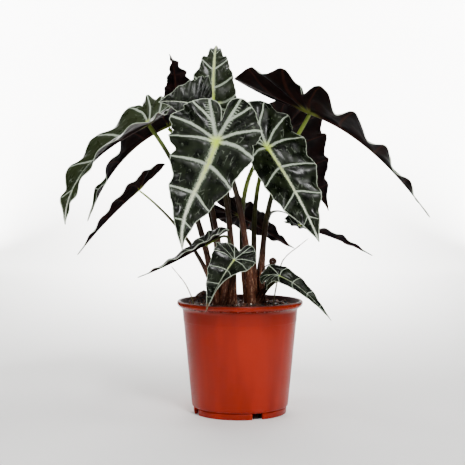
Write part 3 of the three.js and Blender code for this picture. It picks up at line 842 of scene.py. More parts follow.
@dataclass(frozen=True)
class MouldedPolypropylene:
    """Brick-red polypropylene, injection moulded: a satin skin with soft flow bands and fine scuffs, and a
    rim that handling has polished a little."""

    name: str = "injection-moulded polypropylene"
    body: str = "#9f2009"
    deep: str = "#891a07"
    worn: str = "#a8300f"
    shaded: str = "#6a1002"
    # The groove colour is a painted shadow line under the rim.
    groove: str = "#4c0d04"
    dirt: str = "#5b1c0c"
    # The wet colour on the pot is a peat stain together with painted shade on the wall's inside.
    wet: str = "#2c0c05"
    roughness: float = 0.36
    # Heights on the pot in m, from where a finish starts to show to where it is full, or gone.
    rim_shadow_fade_in: Point = (0.112, 0.138)
    rim_shadow_fade_out: Point = (0.1405, 0.1445)
    splashed: Point = (0.008, 0.022)
    shadow_line_fade_in: Point = (0.1395, 0.143)
    shadow_line_fade_out: Point = (0.1446, 0.146)
    handled: Point = (0.1445, 0.1465)
    top_edge: Point = (0.1498, 0.1512)
    polished: Point = (0.139, 0.146)
    # The line between the stained inside of the wall and the clean outside leans out with the rim.
    inside_lean: float = 0.42
    inside_line: Point = (0.0178, 0.0184)  # radius on it in m, less the lean times the height

    def material(self) -> Material:
        """Build the material.

        Returns:
            The material.
        """
        shader = Shader(self.name)
        add = shader.add
        spot = add("TexCoord", out="Object")
        height = add("SeparateXYZ", [spot], out=2)
        # Flow bands run down the wall, about 25 mm wide and eight times as long.
        flow = add("Mapping", {"Vector": spot, "Scale": (1, 1, 0.12)})
        bands = add("TexNoise", {"Vector": flow, "Scale": 1 / (25 * MM), "Detail": 2})
        # Scuffs of stacking run round the wall, 6 mm long and 1.5 mm high.
        round_wall = add("Mapping", {"Vector": spot, "Scale": (1, 1, 4)})
        scuffs = add(
            "TexNoise", {"Vector": round_wall, "Scale": 1 / (6 * MM), "Detail": 4, "Roughness": 0.65}
        )
        # Painted shadow darkens the wall towards the hollow under the rim, and earth has splashed the foot in
        # spots of 7 mm.
        painted_rim_shadow = add("MapRange", [height, *self.rim_shadow_fade_in, 0, 0.55])
        painted_rim_shadow = add("Math.MULTIPLY", [painted_rim_shadow, add("MapRange", [height, *self.rim_shadow_fade_out, 1, 0])])
        splash = add("TexNoise", {"Vector": spot, "Scale": 1 / (7 * MM), "Detail": 4})
        splash = add("Math.MULTIPLY_ADD", [splash, 0.02, height])
        # A painted shadow line runs round the pot in the hollow that the rim overhangs.
        groove = add("MapRange", [height, *self.shadow_line_fade_in, 0, 0.8])
        groove = add("Math.MULTIPLY", [groove, add("MapRange", [height, *self.shadow_line_fade_out, 1, 0])])
        # The wall's inside above the soil is painted dark, as a peat stain and as painted shade inside the
        # pot, and the rim's top edge is painted a little darker in the same way.
        radius = add("VectorMath.LENGTH", [add("VectorMath.MULTIPLY", [spot, (1, 1, 0)])], out=1)
        lean = add("Math.MULTIPLY_ADD", [height, -self.inside_lean, radius])
        inside = add("MapRange", [lean, *self.inside_line, 0.95, 0])
        inside = add("Math.MAXIMUM", [inside, add("MapRange", [height, *self.top_edge, 0, 0.7])])
        colour = shader.coats(
            self.deep,
            (self.body, bands, 0.35, 0.68),
            (self.worn, scuffs, 0.56, 0.8, 0, 0.25),
            (self.shaded, painted_rim_shadow),
            (self.dirt, splash, *self.splashed, 0.12, 0),
            (self.groove, groove),
            (self.dirt, height, *self.handled, 0, 0.42),
            (self.wet, inside),
        )
        rough = add("MapRange", [scuffs, 0.3, 0.8, self.roughness - 0.03, self.roughness + 0.1])
        rough = add("Math.SUBTRACT", [rough, add("MapRange", [height, *self.polished, 0, 0.15])])
        rough = add("Math.MULTIPLY_ADD", [inside, 0.5, rough])
        # The mould's grain is near 0.3 mm, and is drawn 0.8 mm wide so that it shows.
        grain = add("TexNoise", {"Vector": spot, "Scale": 1 / (0.8 * MM), "Detail": 2})
        normal = add("Bump", {"Height": grain, "Distance": 0.015 * MM})
        normal = add("Bump", {"Height": bands, "Distance": 0.4 * MM, "Normal": normal})
        return shader.close(colour, rough, normal, ior=1.49, specular=0.17)


@dataclass(frozen=True)
class PeatMix:
    """Damp peat potting mix, loose and unworked: crumbs of 1 to 5 mm, nearly black in the gaps, with lighter
    dry fibres on top, and no sheen."""

    name: str = "peat potting mix"
    wet: str = "#0b0604"
    dry: str = "#45220f"
    fibre: str = "#6a4a30"
    roughness: float = 0.92

    def material(self) -> Material:
        """Build the material.

        Returns:
            The material.
        """
        shader = Shader(self.name)
        add = shader.add
        spot = add("TexCoord", out="Object")
        crumbs = add("TexNoise", {"Vector": spot, "Scale": 1 / (4 * MM), "Detail": 5, "Roughness": 0.65})
        # Fibres lie across each other, 3 mm long and under 1 mm wide.
        lain = add("Mapping", {"Vector": spot, "Rotation": (0, 0, 0.7), "Scale": (1, 3.5, 1)})
        fibres = add("TexNoise", {"Vector": lain, "Scale": 1 / (3 * MM), "Detail": 2})
        colour = shader.coats(
            self.wet, (self.dry, crumbs, 0.38, 0.66), (self.fibre, fibres, 0.66, 0.74, 0, 0.7)
        )
        return shader.close(colour, self.roughness, add("Bump", {"Height": crumbs, "Distance": 1.6 * MM}))


@dataclass(frozen=True)
class ExpandedPerlite:
    """Expanded perlite: puffed white volcanic glass, matt and pitted, with a little peat rubbed in."""

    name: str = "expanded perlite"
    clean: str = "#e9e4da"
    stained: str = "#9a866e"
    roughness: float = 0.8

    def material(self) -> Material:
        """Build the material.

        Returns:
            The material.
        """
        shader = Shader(self.name)
        add = shader.add
        pits = add(
            "TexNoise", {"Vector": add("TexCoord", out="Object"), "Scale": 1 / (1.1 * MM), "Detail": 3}
        )
        colour = shader.coats(self.stained, (self.clean, pits, 0.4, 0.58))
        return shader.close(colour, self.roughness, add("Bump", {"Height": pits, "Distance": 0.4 * MM}))


@dataclass(frozen=True)
class DryFibre:
    """Dead plant fibre that has dried where it grew: papery and dull, with threads that run upwards."""

    name: str
    dark: str
    light: str
    thread: float  # mm wide; a thread is ten times as long
    depth: float  # mm that threads stand out
    roughness: float = 0.75

    def material(self) -> Material:
        """Build the material.

        Returns:
            The material.
        """
        shader = Shader(self.name)
        add = shader.add
        drawn = add("Mapping", {"Vector": add("TexCoord", out="Object"), "Scale": (1, 1, 0.1)})
        threads = add("TexNoise", {"Vector": drawn, "Scale": 1 / (self.thread * MM), "Detail": 4})
        colour = shader.coats(self.dark, (self.light, threads, 0.4, 0.66))
        return shader.close(
            colour, self.roughness, add("Bump", {"Height": threads, "Distance": self.depth * MM})
        )


@dataclass(frozen=True)
class MattSheet:
    """A matt sheet of the studio, without sheen: paper, or the felt of a flag."""

    name: str = "matt paper"
    colour: str = "#fbfaf8"
    roughness: float = 0.85

    def material(self) -> Material:
        """Build the material."""
        return Shader(self.name).close(self.colour, self.roughness)


# -------------------- pot and potting


@dataclass(frozen=True)
class PotMaker:
    """The nursery pot: a flared wall with a rolled rim and a notched foot ring."""

    rim_radius: float = 85
    neck_radius: float = 77.5
    heel_radius: float = 65
    foot_radius: float = 62.5
    foot_height: float = 9
    height: float = 152
    wall: float = 1.6
    band_height: float = 125  # of the faint step in the wall where stacked pots rest
    notch_count: int = 4
    notch_angle: float = -158.5
    notch_size: tuple[float, float, float] = (16, 15, 8.4)
    notch_inset: float = 4
    drain_size: tuple[float, float, float] = (9, 10.5, 30)
    drain_inset: float = 10
    notch_rounding: float = 1.6
    segments: int = 144

    def profile(self) -> list[Point]:
        """Draw half of the pot's section, from the middle of its underside round to its floor.

        Returns:
            Radius and height of each point.
        """
        foot, heel, neck, rim, top = (
            self.foot_radius, self.heel_radius, self.neck_radius, self.rim_radius, self.height
        )
        band = heel + (neck - heel) * (self.band_height - 12) / (top - 24)
        inner, floor = heel - self.wall, self.foot_height + 2
        underside = (
            (0, self.foot_height, 0), (foot - 4, self.foot_height, 0.6), (foot - 4, 0, 0.8), (foot, 0, 1.2)
        )
        ring = (
            (foot + 0.5, 7.6, 0.5), (foot - 0.5, 8.4, 0.3), (foot - 0.4, 9.6, 0.3), (heel - 0.3, 9.9, 1.4)
        )
        step = (
            (heel + 0.3, 13, 2), (band, self.band_height - 1.2, 0.5), (band + 0.45, self.band_height, 0.5)
        )
        flare = (
            (neck, top - 12.6, 1.6), (neck + 2.2, top - 9.4, 2),
            (rim - 1.3, top - 7.4, 1.6), (rim, top - 5, 2),
        )
        lip = ((rim - 0.3, top - 1.4, 1.8), (rim - 2.2, top, 1.2), (rim - 4.2, top - 1.2, 1))
        inside = (
            (neck - self.wall, top - 12.4, 4), (inner + 0.8, 14, 2), (inner - 1.6, floor, 1.5), (0, floor, 0)
        )
        return rounded((*underside, *ring, *step, *flare, *lip, *inside))

    def notch(self, angle: float) -> Piece:
        """Make the solid that cuts one notch and its drain.

        Args:
            angle: where it stands round the foot, in radians.

        Returns:
            The cutter.
        """
        deep, wide, high = self.notch_size
        blocks = []
        for inset, size in ((self.notch_inset, (deep, wide, 2 * high)), (self.drain_inset, self.drain_size)):
            out = self.foot_radius - inset
            deselect()
            spot = (out * math.cos(angle) * MM, out * math.sin(angle) * MM, 0)
            bpy.ops.mesh.primitive_cube_add(size=1, location=spot, rotation=(0, 0, angle))
            block = bpy.context.object
            block.dimensions = [side * MM for side in size]
            bpy.ops.object.transform_apply(location=True, rotation=True, scale=True)
            apply_modifier(block, "BEVEL", width=self.notch_rounding * MM, segments=3, limit_method="ANGLE")
            blocks.append(block)
        return joined(blocks, "notch_cutter")

    def build(self) -> None:
        """Spin the wall, cut the notches and dress the pot."""
        pot = spun("nursery_pot", self.profile(), self.segments)
        for i in range(self.notch_count):
            cutter = self.notch(math.radians(self.notch_angle + 360 / self.notch_count * i))
            apply_modifier(
                pot, "BOOLEAN", operation="DIFFERENCE", object=cutter, solver="EXACT", use_self=True
            )
            bpy.data.objects.remove(cutter)
        pot.data.materials.clear()
        finish(pot, 32, Slot.POT, ["pot"], MouldedPolypropylene().material())


@dataclass(frozen=True)
class Grains:
    """Loose grains of one kind: how many there are, their smallest and largest radius, and their finish."""

    name: str
    count: int
    radii: tuple[float, float]
    skin: PeatMix | ExpandedPerlite


@dataclass(frozen=True)
class SoilMaker:
    """The potting soil: a crumbly surface with a mound behind on the left, loose crumbs, and a few grains of
    perlite."""

    level: float = 145
    floor: float = 11.4
    floor_radius: float = 60
    shoulder_radius: float = 74
    shoulder_depth: float = 6
    mound_at: tuple[float, float] = (-50, 44)
    mound_height: float = 15
    mound_spread: float = 15
    heap_height: float = 2.2  # of the soil drawn up round each corm
    heap_spread: float = 22
    rings: int = 64
    sides: int = 168
    strewn_share: float = 0.97  # of the surface's radius, as far as grains lie
    bare_ring: float = 7  # round the petioles, where none lie
    strewn: tuple[Grains, ...] = (
        Grains("peat_crumbs", 620, (0.8, 3.4), PeatMix("peat crumbs", dry="#603218")),
        Grains("perlite_grains", 16, (0.8, 2.2), ExpandedPerlite()),
    )
    seed: int = 11

    def height(self, x: Array, y: Array) -> Array:
        """Find the height of the soil's surface.

        Args:
            x: places across the pot.
            y: places from front to back.

        Returns:
            One height for each place.
        """
        flat = np.stack([x, y, np.zeros_like(x)], axis=-1)
        heaps = sum(
            self.heap_height * np.exp(-((np.hypot(x - clump.at[0], y - clump.at[1]) / self.heap_spread) ** 2))
            for clump in Clump
        )
        away = np.hypot(x - self.mound_at[0], y - self.mound_at[1]) / self.mound_spread
        crumbs = 1.5 * rough_field(flat, 14, 3.1) + 0.9 * rough_field(flat, 4.5, 7.7, 1)
        return self.level + heaps + crumbs + self.mound_height * np.exp(-(away**2))

    def bed(self) -> None:
        """Fill the pot: floor, side and crumbly top as one closed shell."""
        out = np.linspace(1, 0, self.rings + 1) ** 0.8
        shoulder = (self.shoulder_radius, self.level - self.shoulder_depth)
        side = [(0, self.floor), (self.floor_radius, self.floor), shoulder]
        profile = np.array(side + [(share * self.shoulder_radius, 0) for share in out])
        bed, u, v = grid_sheet("peat_bed", len(profile) - 1, self.sides)
        index, turn = np.round(u * (len(profile) - 1)).astype(int), v * 2 * math.pi
        radius, z = profile[index].T
        x, y = radius * np.cos(turn), radius * np.sin(turn)
        top = index >= len(side)
        z[top] = self.height(x[top], y[top])
        set_coordinates(bed, np.stack([x, y, z], axis=-1))
        weld(bed)
        finish(bed, 70, Slot.SOIL, ["soil"], PeatMix().material())

    def scatter(self, grains: Grains, luck: random.Random) -> None:
        """Strew grains over the soil, each a lumpy little stone of its own shape.

        Args:
            grains: what is strewn.
            luck: the source of chance.
        """
        deselect()
        bpy.ops.mesh.primitive_ico_sphere_add(subdivisions=2, radius=MM)
        first = bpy.context.object
        ball = coordinates(first)
        least, most = grains.radii
        strewn = []
        while len(strewn) < grains.count:
            away = self.shoulder_radius * self.strewn_share * math.sqrt(luck.random())
            angle = luck.uniform(0, 2 * math.pi)
            spot = np.array([away * math.cos(angle), away * math.sin(angle)])
            radius = least + (most - least) * luck.random() ** 2.2
            if any(np.hypot(*(spot - clump.at)) < clump.ring_radius + self.bare_ring for clump in Clump):
                continue
            grain = first.copy()
            grain.data = first.data.copy()
            bpy.context.collection.objects.link(grain)
            squash = np.array([luck.uniform(0.7, 1.1), luck.uniform(0.7, 1.1), luck.uniform(0.5, 0.85)])
            shape = ball * (1 + 0.35 * rough_field(ball, 1.4, luck.uniform(0, 90), 1))[:, None] * squash
            sink = float(self.height(spot[:1], spot[1:])[0]) + radius * 0.25
            set_coordinates(grain, shape * radius + (*spot, sink))
            strewn.append(grain)
        bpy.data.objects.remove(first)
        finish(joined(strewn, grains.name), 40, Slot.SOIL, skin=grains.skin.material())

    def build(self) -> None:
        """Fill the pot and strew the grains."""
        luck = random.Random(self.seed)
        self.bed()
        for grains in self.strewn:
            self.scatter(grains, luck)


@dataclass(frozen=True)
class CormMaker:
    """The corm under each clump: a squat ringed stump with a frayed papery coat, just proud of the soil."""

    radius: float = 19.5
    top: float = 147.5
    depth: float = 36
    fray: float = 0.9  # how far its side is frayed, and how wide a strip of the coat is
    strip: float = 3.2
    tuft: float = 1.4  # the same for its crown
    tuft_size: float = 5
    steps: int = 72

    def build(self, clump: Clump) -> None:
        """Make one corm.

        Args:
            clump: which of the two.
        """
        r, h = self.radius, self.depth
        under = ((0, -h, 0), (r * 0.5, -h, 3), (r * 0.86, -h * 0.75, 4), (r, -h * 0.45, 4))
        rings = ((r * 0.93, -h * 0.3, 2), (r, -h * 0.2, 3), (r * 0.95, -h * 0.08, 2))
        crown = ((r * 0.86, 0, 2.5), (r * 0.4, -1, 2), (0, -1.5, 0))
        section = rounded([(x, self.top + z, turn) for x, z, turn in under + rings + crown], 7)
        corm = spun(f"corm_coat_{clump.label}", section, self.steps, clump.at)
        points = coordinates(corm)
        middle = np.array([*clump.at, 0])
        out = unit((points - middle) * (1, 1, 0) + 1e-6)
        drawn = points * (1, 1, 0.15)
        away = np.hypot(*(points - middle)[:, :2].T)
        fraying = self.fray * rough_field(drawn, self.strip, 5.0) * ease(0, 6, away)
        lift = (
            self.tuft
            * rough_field(points, self.tuft_size, 9.0, 1)
            * ease(self.top - 6, self.top, points[:, 2])
        )
        set_coordinates(corm, points + out * fraying[:, None] + np.outer(lift, (0, 0, 1)))
        coat = DryFibre("papery corm coat", dark="#2b1710", light="#7d5a3e", thread=1.3, depth=0.5)
        finish(corm, 50, Slot.CORM, [f"corm_{clump.label}"], coat.material())


@dataclass(frozen=True)
class DryStalkMaker:
    """A dead leaf stalk, shrunk to a thin wrinkled straw that ends in a torn point."""

    side: Clump
    foot_radius: float
    tip_radius: float
    line: tuple[Spot, ...]
    kink: float = 0.5  # how far it strays from its line, and over what length
    kink_length: float = 17
    shrunk: float = 0.22  # share of its radius that it has shrunk or swollen by, and over what length
    shrunk_length: float = 6
    crease: float = 0.25  # depth of its three creases, as a share of the radius
    point: float = 0.8  # share of its radius lost at its torn end
    rings: int = 90
    sides: int = 12

    def build(self) -> None:
        """Make the stalk."""
        name = self.side.label
        corners = np.array(self.line, float)
        run = smooth_line(corners, np.linspace(0, len(corners) - 1, self.rings))
        kinks = [rough_field(run[3:], self.kink_length, seed, 1) for seed in (1.0, 4.0, 8.0)]
        run[3:] += self.kink * np.stack(kinks, axis=-1)
        share = np.linspace(0, 1, self.rings)
        radii = self.foot_radius + (self.tip_radius - self.foot_radius) * share
        radii *= 1 + self.shrunk * rough_field(run, self.shrunk_length, 2.0)
        radii *= 1 - self.point * ease(0.94, 1, share)
        stalk, at, turn, out = tube(f"dried_stalk_{name}", run, radii, self.sides)
        crease = self.crease * np.interp(at, share, radii) * np.cos(3 * turn + 5 * at)
        crease *= ease(0.02, 0.06, at) * ease(1, 0.96, at)
        set_coordinates(stalk, coordinates(stalk) + out * crease[:, None])
        weld(stalk)
        straw = DryFibre("dry straw", dark="#3d3019", light="#8a7850", thread=0.8, depth=0.3)
        finish(stalk, 60, Slot.DRY_STALK, [f"dry_stalk_{name}"], straw.material())


@dataclass(frozen=True)
class CurledShoot:
    """A young leaf that has stayed rolled up, on a thin stalk out of the right clump's sheaths."""

    stalk: tuple[Spot, ...] = ((30, 3, 190), (33, -4, 196), (37, -8, 199.5), (41.5, -10, 200.5))
    centre: Spot = (44, -11, 204.3)
    turns: float = 1.35
    coil_radius: float = 3.7
    tightening: float = 0.62  # share of that radius lost by the coil's end
    lean: float = 2.2  # how far the coil comes forward by its end
    radii: tuple[float, float] = (0.9, 3.2)
    green: float = 0.36
    stalk_rings: int = 30
    rings: int = 110
    sides: int = 16

    def line(self) -> Array:
        """Run up the stalk and on round the coil.

        Returns:
            The points, in rows.
        """
        stalk = np.array(self.stalk, float)
        run = smooth_line(stalk, np.linspace(0, len(stalk) - 1, self.stalk_rings))
        turn = np.radians(np.linspace(-90, -90 + 360 * self.turns, self.rings - self.stalk_rings))
        share = np.linspace(0, 1, len(turn))
        away = self.coil_radius * (1 - self.tightening * share)
        coil = np.stack([np.cos(turn) * away, -self.lean * share, np.sin(turn) * away], axis=-1) + self.centre
        line = np.vstack([run[:-4], coil[2:]])
        return smooth_line(line, np.linspace(0, len(line) - 1, self.rings))

    def build(self, skin: Material) -> None:
        """Make the shoot.

        Args:
            skin: the petioles' finish.
        """
        line, share = self.line(), np.linspace(0, 1, self.rings)
        thin, thick = self.radii
        radii = thin + (thick - thin) * ease(0.2, 0.55, share) * (1 - 0.45 * ease(0.7, 1, share))
        radii *= 1 + 0.1 * rough_field(line, 4, 6.0)
        shoot, _, turn, _ = tube("curled_shoot", line, radii, self.sides)
        rise = coordinates(shoot)[:, 2] - PETIOLE_FOOT
        wrap_skin(shoot, turn, rise, np.full_like(rise, self.green))
        weld(shoot)
        finish(shoot, 60, Slot.PETIOLE, skin=skin)


# -------------------- leaves

# One half of the blade's outline, from the tip round to the notch between the hind lobes, as shares of
# the length along the midrib and of the half width across it. A vein ends at each even point, where the
# margin bulges, and a scalloped margin draws in at each odd one. The last vein ends at the lobe's point.
OUTLINE = np.array(
    [
        (1.0, 0.0), (0.88, 0.085), (0.76, 0.2), (0.65, 0.31), (0.54, 0.48), (0.42, 0.58), (0.29, 0.74),
        (0.18, 0.8), (0.06, 0.94), (-0.05, 0.93), (-0.16, 1.0), (-0.25, 0.83), (-0.33, 0.69), (-0.41, 0.36),
        (-0.36, 0.09), (-0.2, 0.0),
    ]
)


def margin_gap(x: Array, y: Array) -> Array:
    """How far places on the standard blade are from its margin.

    Args:
        x: places along the midrib, in mm.
        y: places across it, in mm.

    Returns:
        Distances in mm.
    """
    edge = smooth_line(OUTLINE, np.linspace(0, len(OUTLINE) - 1, 180)) * STANDARD
    start, run = edge[:-1], np.diff(edge, axis=0)
    off = np.stack([x, y], axis=-1)[:, None] - start
    at = np.clip((off * run).sum(axis=2) / (run * run).sum(axis=1), 0, 1)
    return np.linalg.norm(off - at[:, :, None] * run, axis=2).min(axis=1)


@dataclass(frozen=True)
class BladeForm:
    """Sizes that all blades share."""

    thickness: float = 0.7
    full_length: float = 140  # a shorter leaf has lower ribs
    rib_depth: float = 2.2  # how far the midrib stands out below the blade at the petiole
    rib_taper: float = 0.85  # share of that lost by the tip
    rib_width: tuple[float, float] = (1.2, 1.8)  # at the tip, and what the petiole's end adds
    vein_depth: float = 0.9
    vein_width: float = 1.7
    vein_slant: float = 0.1  # how far towards the tip a vein runs, at least, as a share of the length
    lobe_share: float = 0.5  # greatest reach of the hind lobes, as a share of the length
    notch: float = 0.2
    scallop_peak: float = 1.6  # a higher one draws the margin in more sharply
    plain_points: int = 6  # how many of the outline's last points, on the hind lobes, aren't scalloped
    nibble: float = 0.05  # share of its width by which the margin is uneven
    nibble_pace: float = 2.2
    uneven: float = 0.35  # how the margin's waves differ from one another
    uneven_pace: float = 2.4
    puff: float = 1.9  # how far the blade swells between its veins
    puff_reach: float = 7  # how far from a vein it has swollen
    lump: float = 0.5  # height of the small lumps on it, and their size
    lump_size: float = 9
    midrib_steps: int = 60
    rows_per_point: int = 10
    columns: int = 52
    crowding: float = 0.45  # how wide the cells beside the midrib are, against even ones


@dataclass(frozen=True)
class StemForm:
    """Sizes that all petioles share."""

    taper: float = 1.3  # a higher one thins it sooner
    stub_radius: float = 3.5  # inside the corm
    sheath: float = 0.16  # how far the sheath swells towards its clump's middle, as a share of the radius
    groove: float = 0.5  # depth of the groove where its edges meet
    spread: float = 0.45  # how much wider it is round its clump than across
    stations: int = 84
    sides: int = 20


FORM, STEM = BladeForm(), StemForm()


@dataclass(frozen=True)
class LeafSkins:
    """The finishes that all leaves share: a blade's two faces, and a petiole."""

    upper: Material
    under: Material
    stalk: Material


@dataclass(frozen=True)
class Petiole:
    """A leaf stalk: where it stands in its clump, its radii above the corm and at the blade, the sideways
    and upward pull of its sweep as it leaves the corm, and from which way and how far it comes up to the
    blade."""

    clump: Clump
    slot: int
    radii: tuple[float, float]
    leaving: Spot
    arrive: Spot
    reach: float
    green: float = 0  # how much sooner than on the others its brown turns green


@dataclass(frozen=True)
class Leaf:
    """A leaf, named for where it stands.

    A single value holds all along, two are given at the junction and the tip, and three at the junction,
    halfway and the tip. Half widths, lobes and curl are given left and right, as seen from above with the tip
    ahead. Heading is 0 along +X and 90 along +Y, pitch is 0 for level and -90 for straight down, and roll
    above 0 puts the left half down. Fold is how far each half rises from flat beside the midrib, and curl how
    much more it has turned at its margin.
    """

    name: str
    junction: Spot
    length: float
    half_width: tuple[float, float]
    heading: Along
    pitch: Along
    fold: tuple[Along, Along]
    ruffle: float
    phase: float
    petiole: Petiole
    lobes: tuple[float, float] = (1, 1)
    roll: Along = 0
    curl: tuple[float, float] = (-10, -10)
    fullness: tuple[float, float] = (0, 0)  # how far each half's width is carried on towards the tip
    scallop: float = 0  # share of its width that the margin draws in between the veins
    vein_width: float = 1  # of the veins, against those of the standard blade
    lobe_drop: float = 0  # how far the hind lobes hang down from the midrib's line
    dry_tip: float = 0  # share of the length that has dried at the tip
    side_veins: float = 1  # how strongly the side veins show
    paleness: float = 0  # how far the tissue has turned from black-green to olive
    yellow_reach: float = 1  # how far the yellow of the junction runs out, against the standard blade

    def axes(self, t: Array) -> tuple[Array, Array, Array]:
        """Find the midrib's direction, the upper face's and the left half's.

        Args:
            t: places along the midrib, as shares of the length.

        Returns:
            Three sets of unit vectors, in rows.
        """
        inside = np.maximum(t, 0)
        drop = np.where(t < 0, -self.lobe_drop * t / FORM.lobe_share, 0)
        angles = [along(self.heading, inside), along(self.pitch, inside) + drop, along(self.roll, inside)]
        heading, pitch, roll = np.radians(angles)
        level = np.stack([np.cos(heading), np.sin(heading), np.zeros_like(t)], axis=-1)
        up = np.array([0.0, 0.0, 1.0])
        forward = level * np.cos(pitch)[:, None] + up * np.sin(pitch)[:, None]
        face = up * np.cos(pitch)[:, None] - level * np.sin(pitch)[:, None]
        face = face * np.cos(roll)[:, None] - np.cross(forward, face) * np.sin(roll)[:, None]
        return forward, face, np.cross(face, forward)

    def midrib(self, t: Array) -> Array:
        """Find points of the midrib by walking from the junction to the tip and back.

        Args:
            t: places along it, as shares of the length.

        Returns:
            The points, in rows.
        """
        steps = FORM.midrib_steps
        middles = (np.arange(steps) + 0.5) / steps
        behind = int(steps * FORM.lobe_share) + 2
        stride = self.length / steps
        ahead = np.cumsum(self.axes(middles)[0], axis=0) * stride
        back = -np.cumsum(self.axes(-middles[:behind])[0], axis=0) * stride
        line = np.vstack([back[::-1], np.zeros((1, 3)), ahead]) + self.junction
        stations = np.arange(-behind, steps + 1) / steps
        return np.stack([np.interp(t, stations, line[:, i]) for i in range(3)], axis=-1)

    def blade(self, skins: LeafSkins) -> Piece:
        """Shape the blade from a grid whose rows run from the midrib to the margin, then thicken it.

        Args:
            skins: the finishes of its two faces.

        Returns:
            The closed blade.
        """
        last = len(OUTLINE) - 1
        sheet, u, v = grid_sheet(f"leaf_{self.name}", last * FORM.rows_per_point, FORM.columns)
        row, across = u * last, 1 - 2 * v
        left, share = across >= 0, np.abs(across)
        share = share * (FORM.crowding + (1 - FORM.crowding) * share)
        edge_t, edge_width = smooth_line(OUTLINE, row).T
        lobe = 1 + (np.where(left, *self.lobes) - 1) * (1 - ease(last - 1, last, row))
        ahead = edge_t + np.where(left, *self.fullness) * edge_t * (1 - edge_t)
        end = np.where(edge_t < 0, edge_t * lobe, ahead)
        start = np.maximum(0, (edge_t - FORM.vein_slant) / (1 - FORM.vein_slant))
        t = start + (end - start) * share
        # The place on the standard blade, which the veins and the materials follow.
        x = STANDARD[0] * (start + (edge_t - start) * share)
        y = STANDARD[1] * edge_width * share
        spot = np.stack([x, np.where(left, y, -y), np.zeros_like(x)], axis=-1)
        gap, margin = vein_gap(bowed(x, y), y), margin_gap(x, y)
        # The margin draws in between the veins, waves, and is uneven, as if nibbled, every 6 mm or so.
        fade = np.minimum(1, np.minimum(row / 2, (last - row) / 2))
        between = ((1 - np.cos(math.pi * row)) / 2) ** FORM.scallop_peak
        drawn_in = 1 - self.scallop * fade * between * (row < last - FORM.plain_points)
        rim = np.stack(
            [row * FORM.nibble_pace, np.where(left, 40.0, 90.0), np.full_like(row, self.phase)], axis=-1
        )
        nibbled = 1 + FORM.nibble * rough_field(rim, 1.0, self.phase) * fade * share**4
        half_width = np.where(left, *self.half_width)
        reach = edge_width * share * half_width * drawn_in * nibbled
        uneven = 1 + FORM.uneven * np.sin(FORM.uneven_pace * row + math.radians(self.phase))
        wave = self.ruffle * fade * uneven * np.cos(math.pi * row) * share**2
        scale = min(1.0, self.length / FORM.full_length)
        swell = FORM.puff * scale * (1 - np.exp(-((gap / FORM.puff_reach) ** 2))) * ease(0, 9, margin)
        lumps = FORM.lump * scale * rough_field(spot, FORM.lump_size, self.phase) * ease(0, 5, gap)
        # Each half rises from the midrib at its fold and turns on by its curl.
        inside = np.clip(t, 0, 1)
        fold = np.radians(np.where(left, along(self.fold[0], inside), along(self.fold[1], inside)))
        curl = np.radians(np.where(left, *(c or 1e-3 for c in self.curl))) / half_width
        out = (np.sin(fold + curl * reach) - np.sin(fold)) / curl
        up = (np.cos(fold) - np.cos(fold + curl * reach)) / curl + wave + swell + lumps
        _, face, to_left = self.axes(t)
        set_coordinates(
            sheet, self.midrib(t) + to_left * (np.where(left, 1, -1) * out)[:, None] + face * up[:, None]
        )
        set_attribute(sheet, "leaf_place", spot + np.outer(margin, (0, 0, 1)))
        for name in ("vein_width", "yellow_reach", "side_veins", "paleness"):
            set_attribute(sheet, name, np.full_like(t, getattr(self, name)))
        dry = ease(1 - self.dry_tip, 1 - 0.5 * self.dry_tip, t) if self.dry_tip else np.zeros_like(t)
        set_attribute(sheet, "dry", dry)
        # The underside's ribs, which end at the notch between the hind lobes.
        left_over = np.where(t >= 0, 1 - FORM.rib_taper * t, np.maximum(0, 1 + t / FORM.notch))
        thin, added = FORM.rib_width
        midrib = FORM.rib_depth * left_over * np.exp(-((reach / (thin + added * left_over)) ** 2))
        side_rib = FORM.vein_depth * (1 - 0.8 * share) * np.exp(-((gap * scale / FORM.vein_width) ** 2))
        set_attribute(sheet, "rib", scale * np.maximum(midrib, side_rib))
        weld(sheet, closed=False)
        self.thicken(sheet, skins)
        return sheet

    def thicken(self, sheet: Piece, skins: LeafSkins) -> None:
        """Give the sheet its thickness and the ribs of its underside.

        Args:
            sheet: the blade's middle surface, faces up.
            skins: the finishes of its two faces.
        """
        rib = take_attribute(sheet, "rib")
        count = len(rib)
        sheet.data.materials.append(skins.upper)
        sheet.data.materials.append(skins.under)
        apply_modifier(sheet, "SOLIDIFY", thickness=FORM.thickness * MM, offset=0, material_offset=1)
        points = coordinates(sheet)
        assert len(points) == 2 * count, f"{sheet.name} isn't two plain faces"
        points[count:] += unit(points[count:] - points[:count]) * rib[:, None]
        set_coordinates(sheet, points)

    def sweep(self) -> tuple[Array, Array]:
        """Draw the line of the petiole, from inside the corm to the blade's underside.

        Returns:
            The points, and how far each is along the swept part, below 0 in the corm.
        """
        stalk = self.petiole
        face = self.axes(np.zeros(1))[1][0]
        root = np.array([*stalk.clump.slot_place(stalk.slot), PETIOLE_FOOT])
        depth = FORM.thickness / 2 + FORM.rib_depth * min(1, self.length / FORM.full_length)
        end = np.array(self.junction) - face * (depth + 0.3 * stalk.radii[1])
        leave, arrive = root + stalk.leaving, end + unit(np.array(stalk.arrive)) * stalk.reach
        t = np.linspace(0, 1, 400)[:, None]
        fine = (1 - t) ** 3 * root + 3 * (1 - t) ** 2 * t * leave + 3 * (1 - t) * t**2 * arrive + t**3 * end
        walked = np.concatenate([[0], np.cumsum(np.linalg.norm(np.diff(fine, axis=0), axis=1))])
        share = np.linspace(0, 1, STEM.stations)
        line = np.stack([np.interp(share * walked[-1], walked, fine[:, i]) for i in range(3)], axis=-1)
        stub = root + np.outer((-17, -10, -4), (0, 0, 1))
        return np.vstack([stub, line]), np.concatenate([(-0.06, -0.04, -0.02), share])

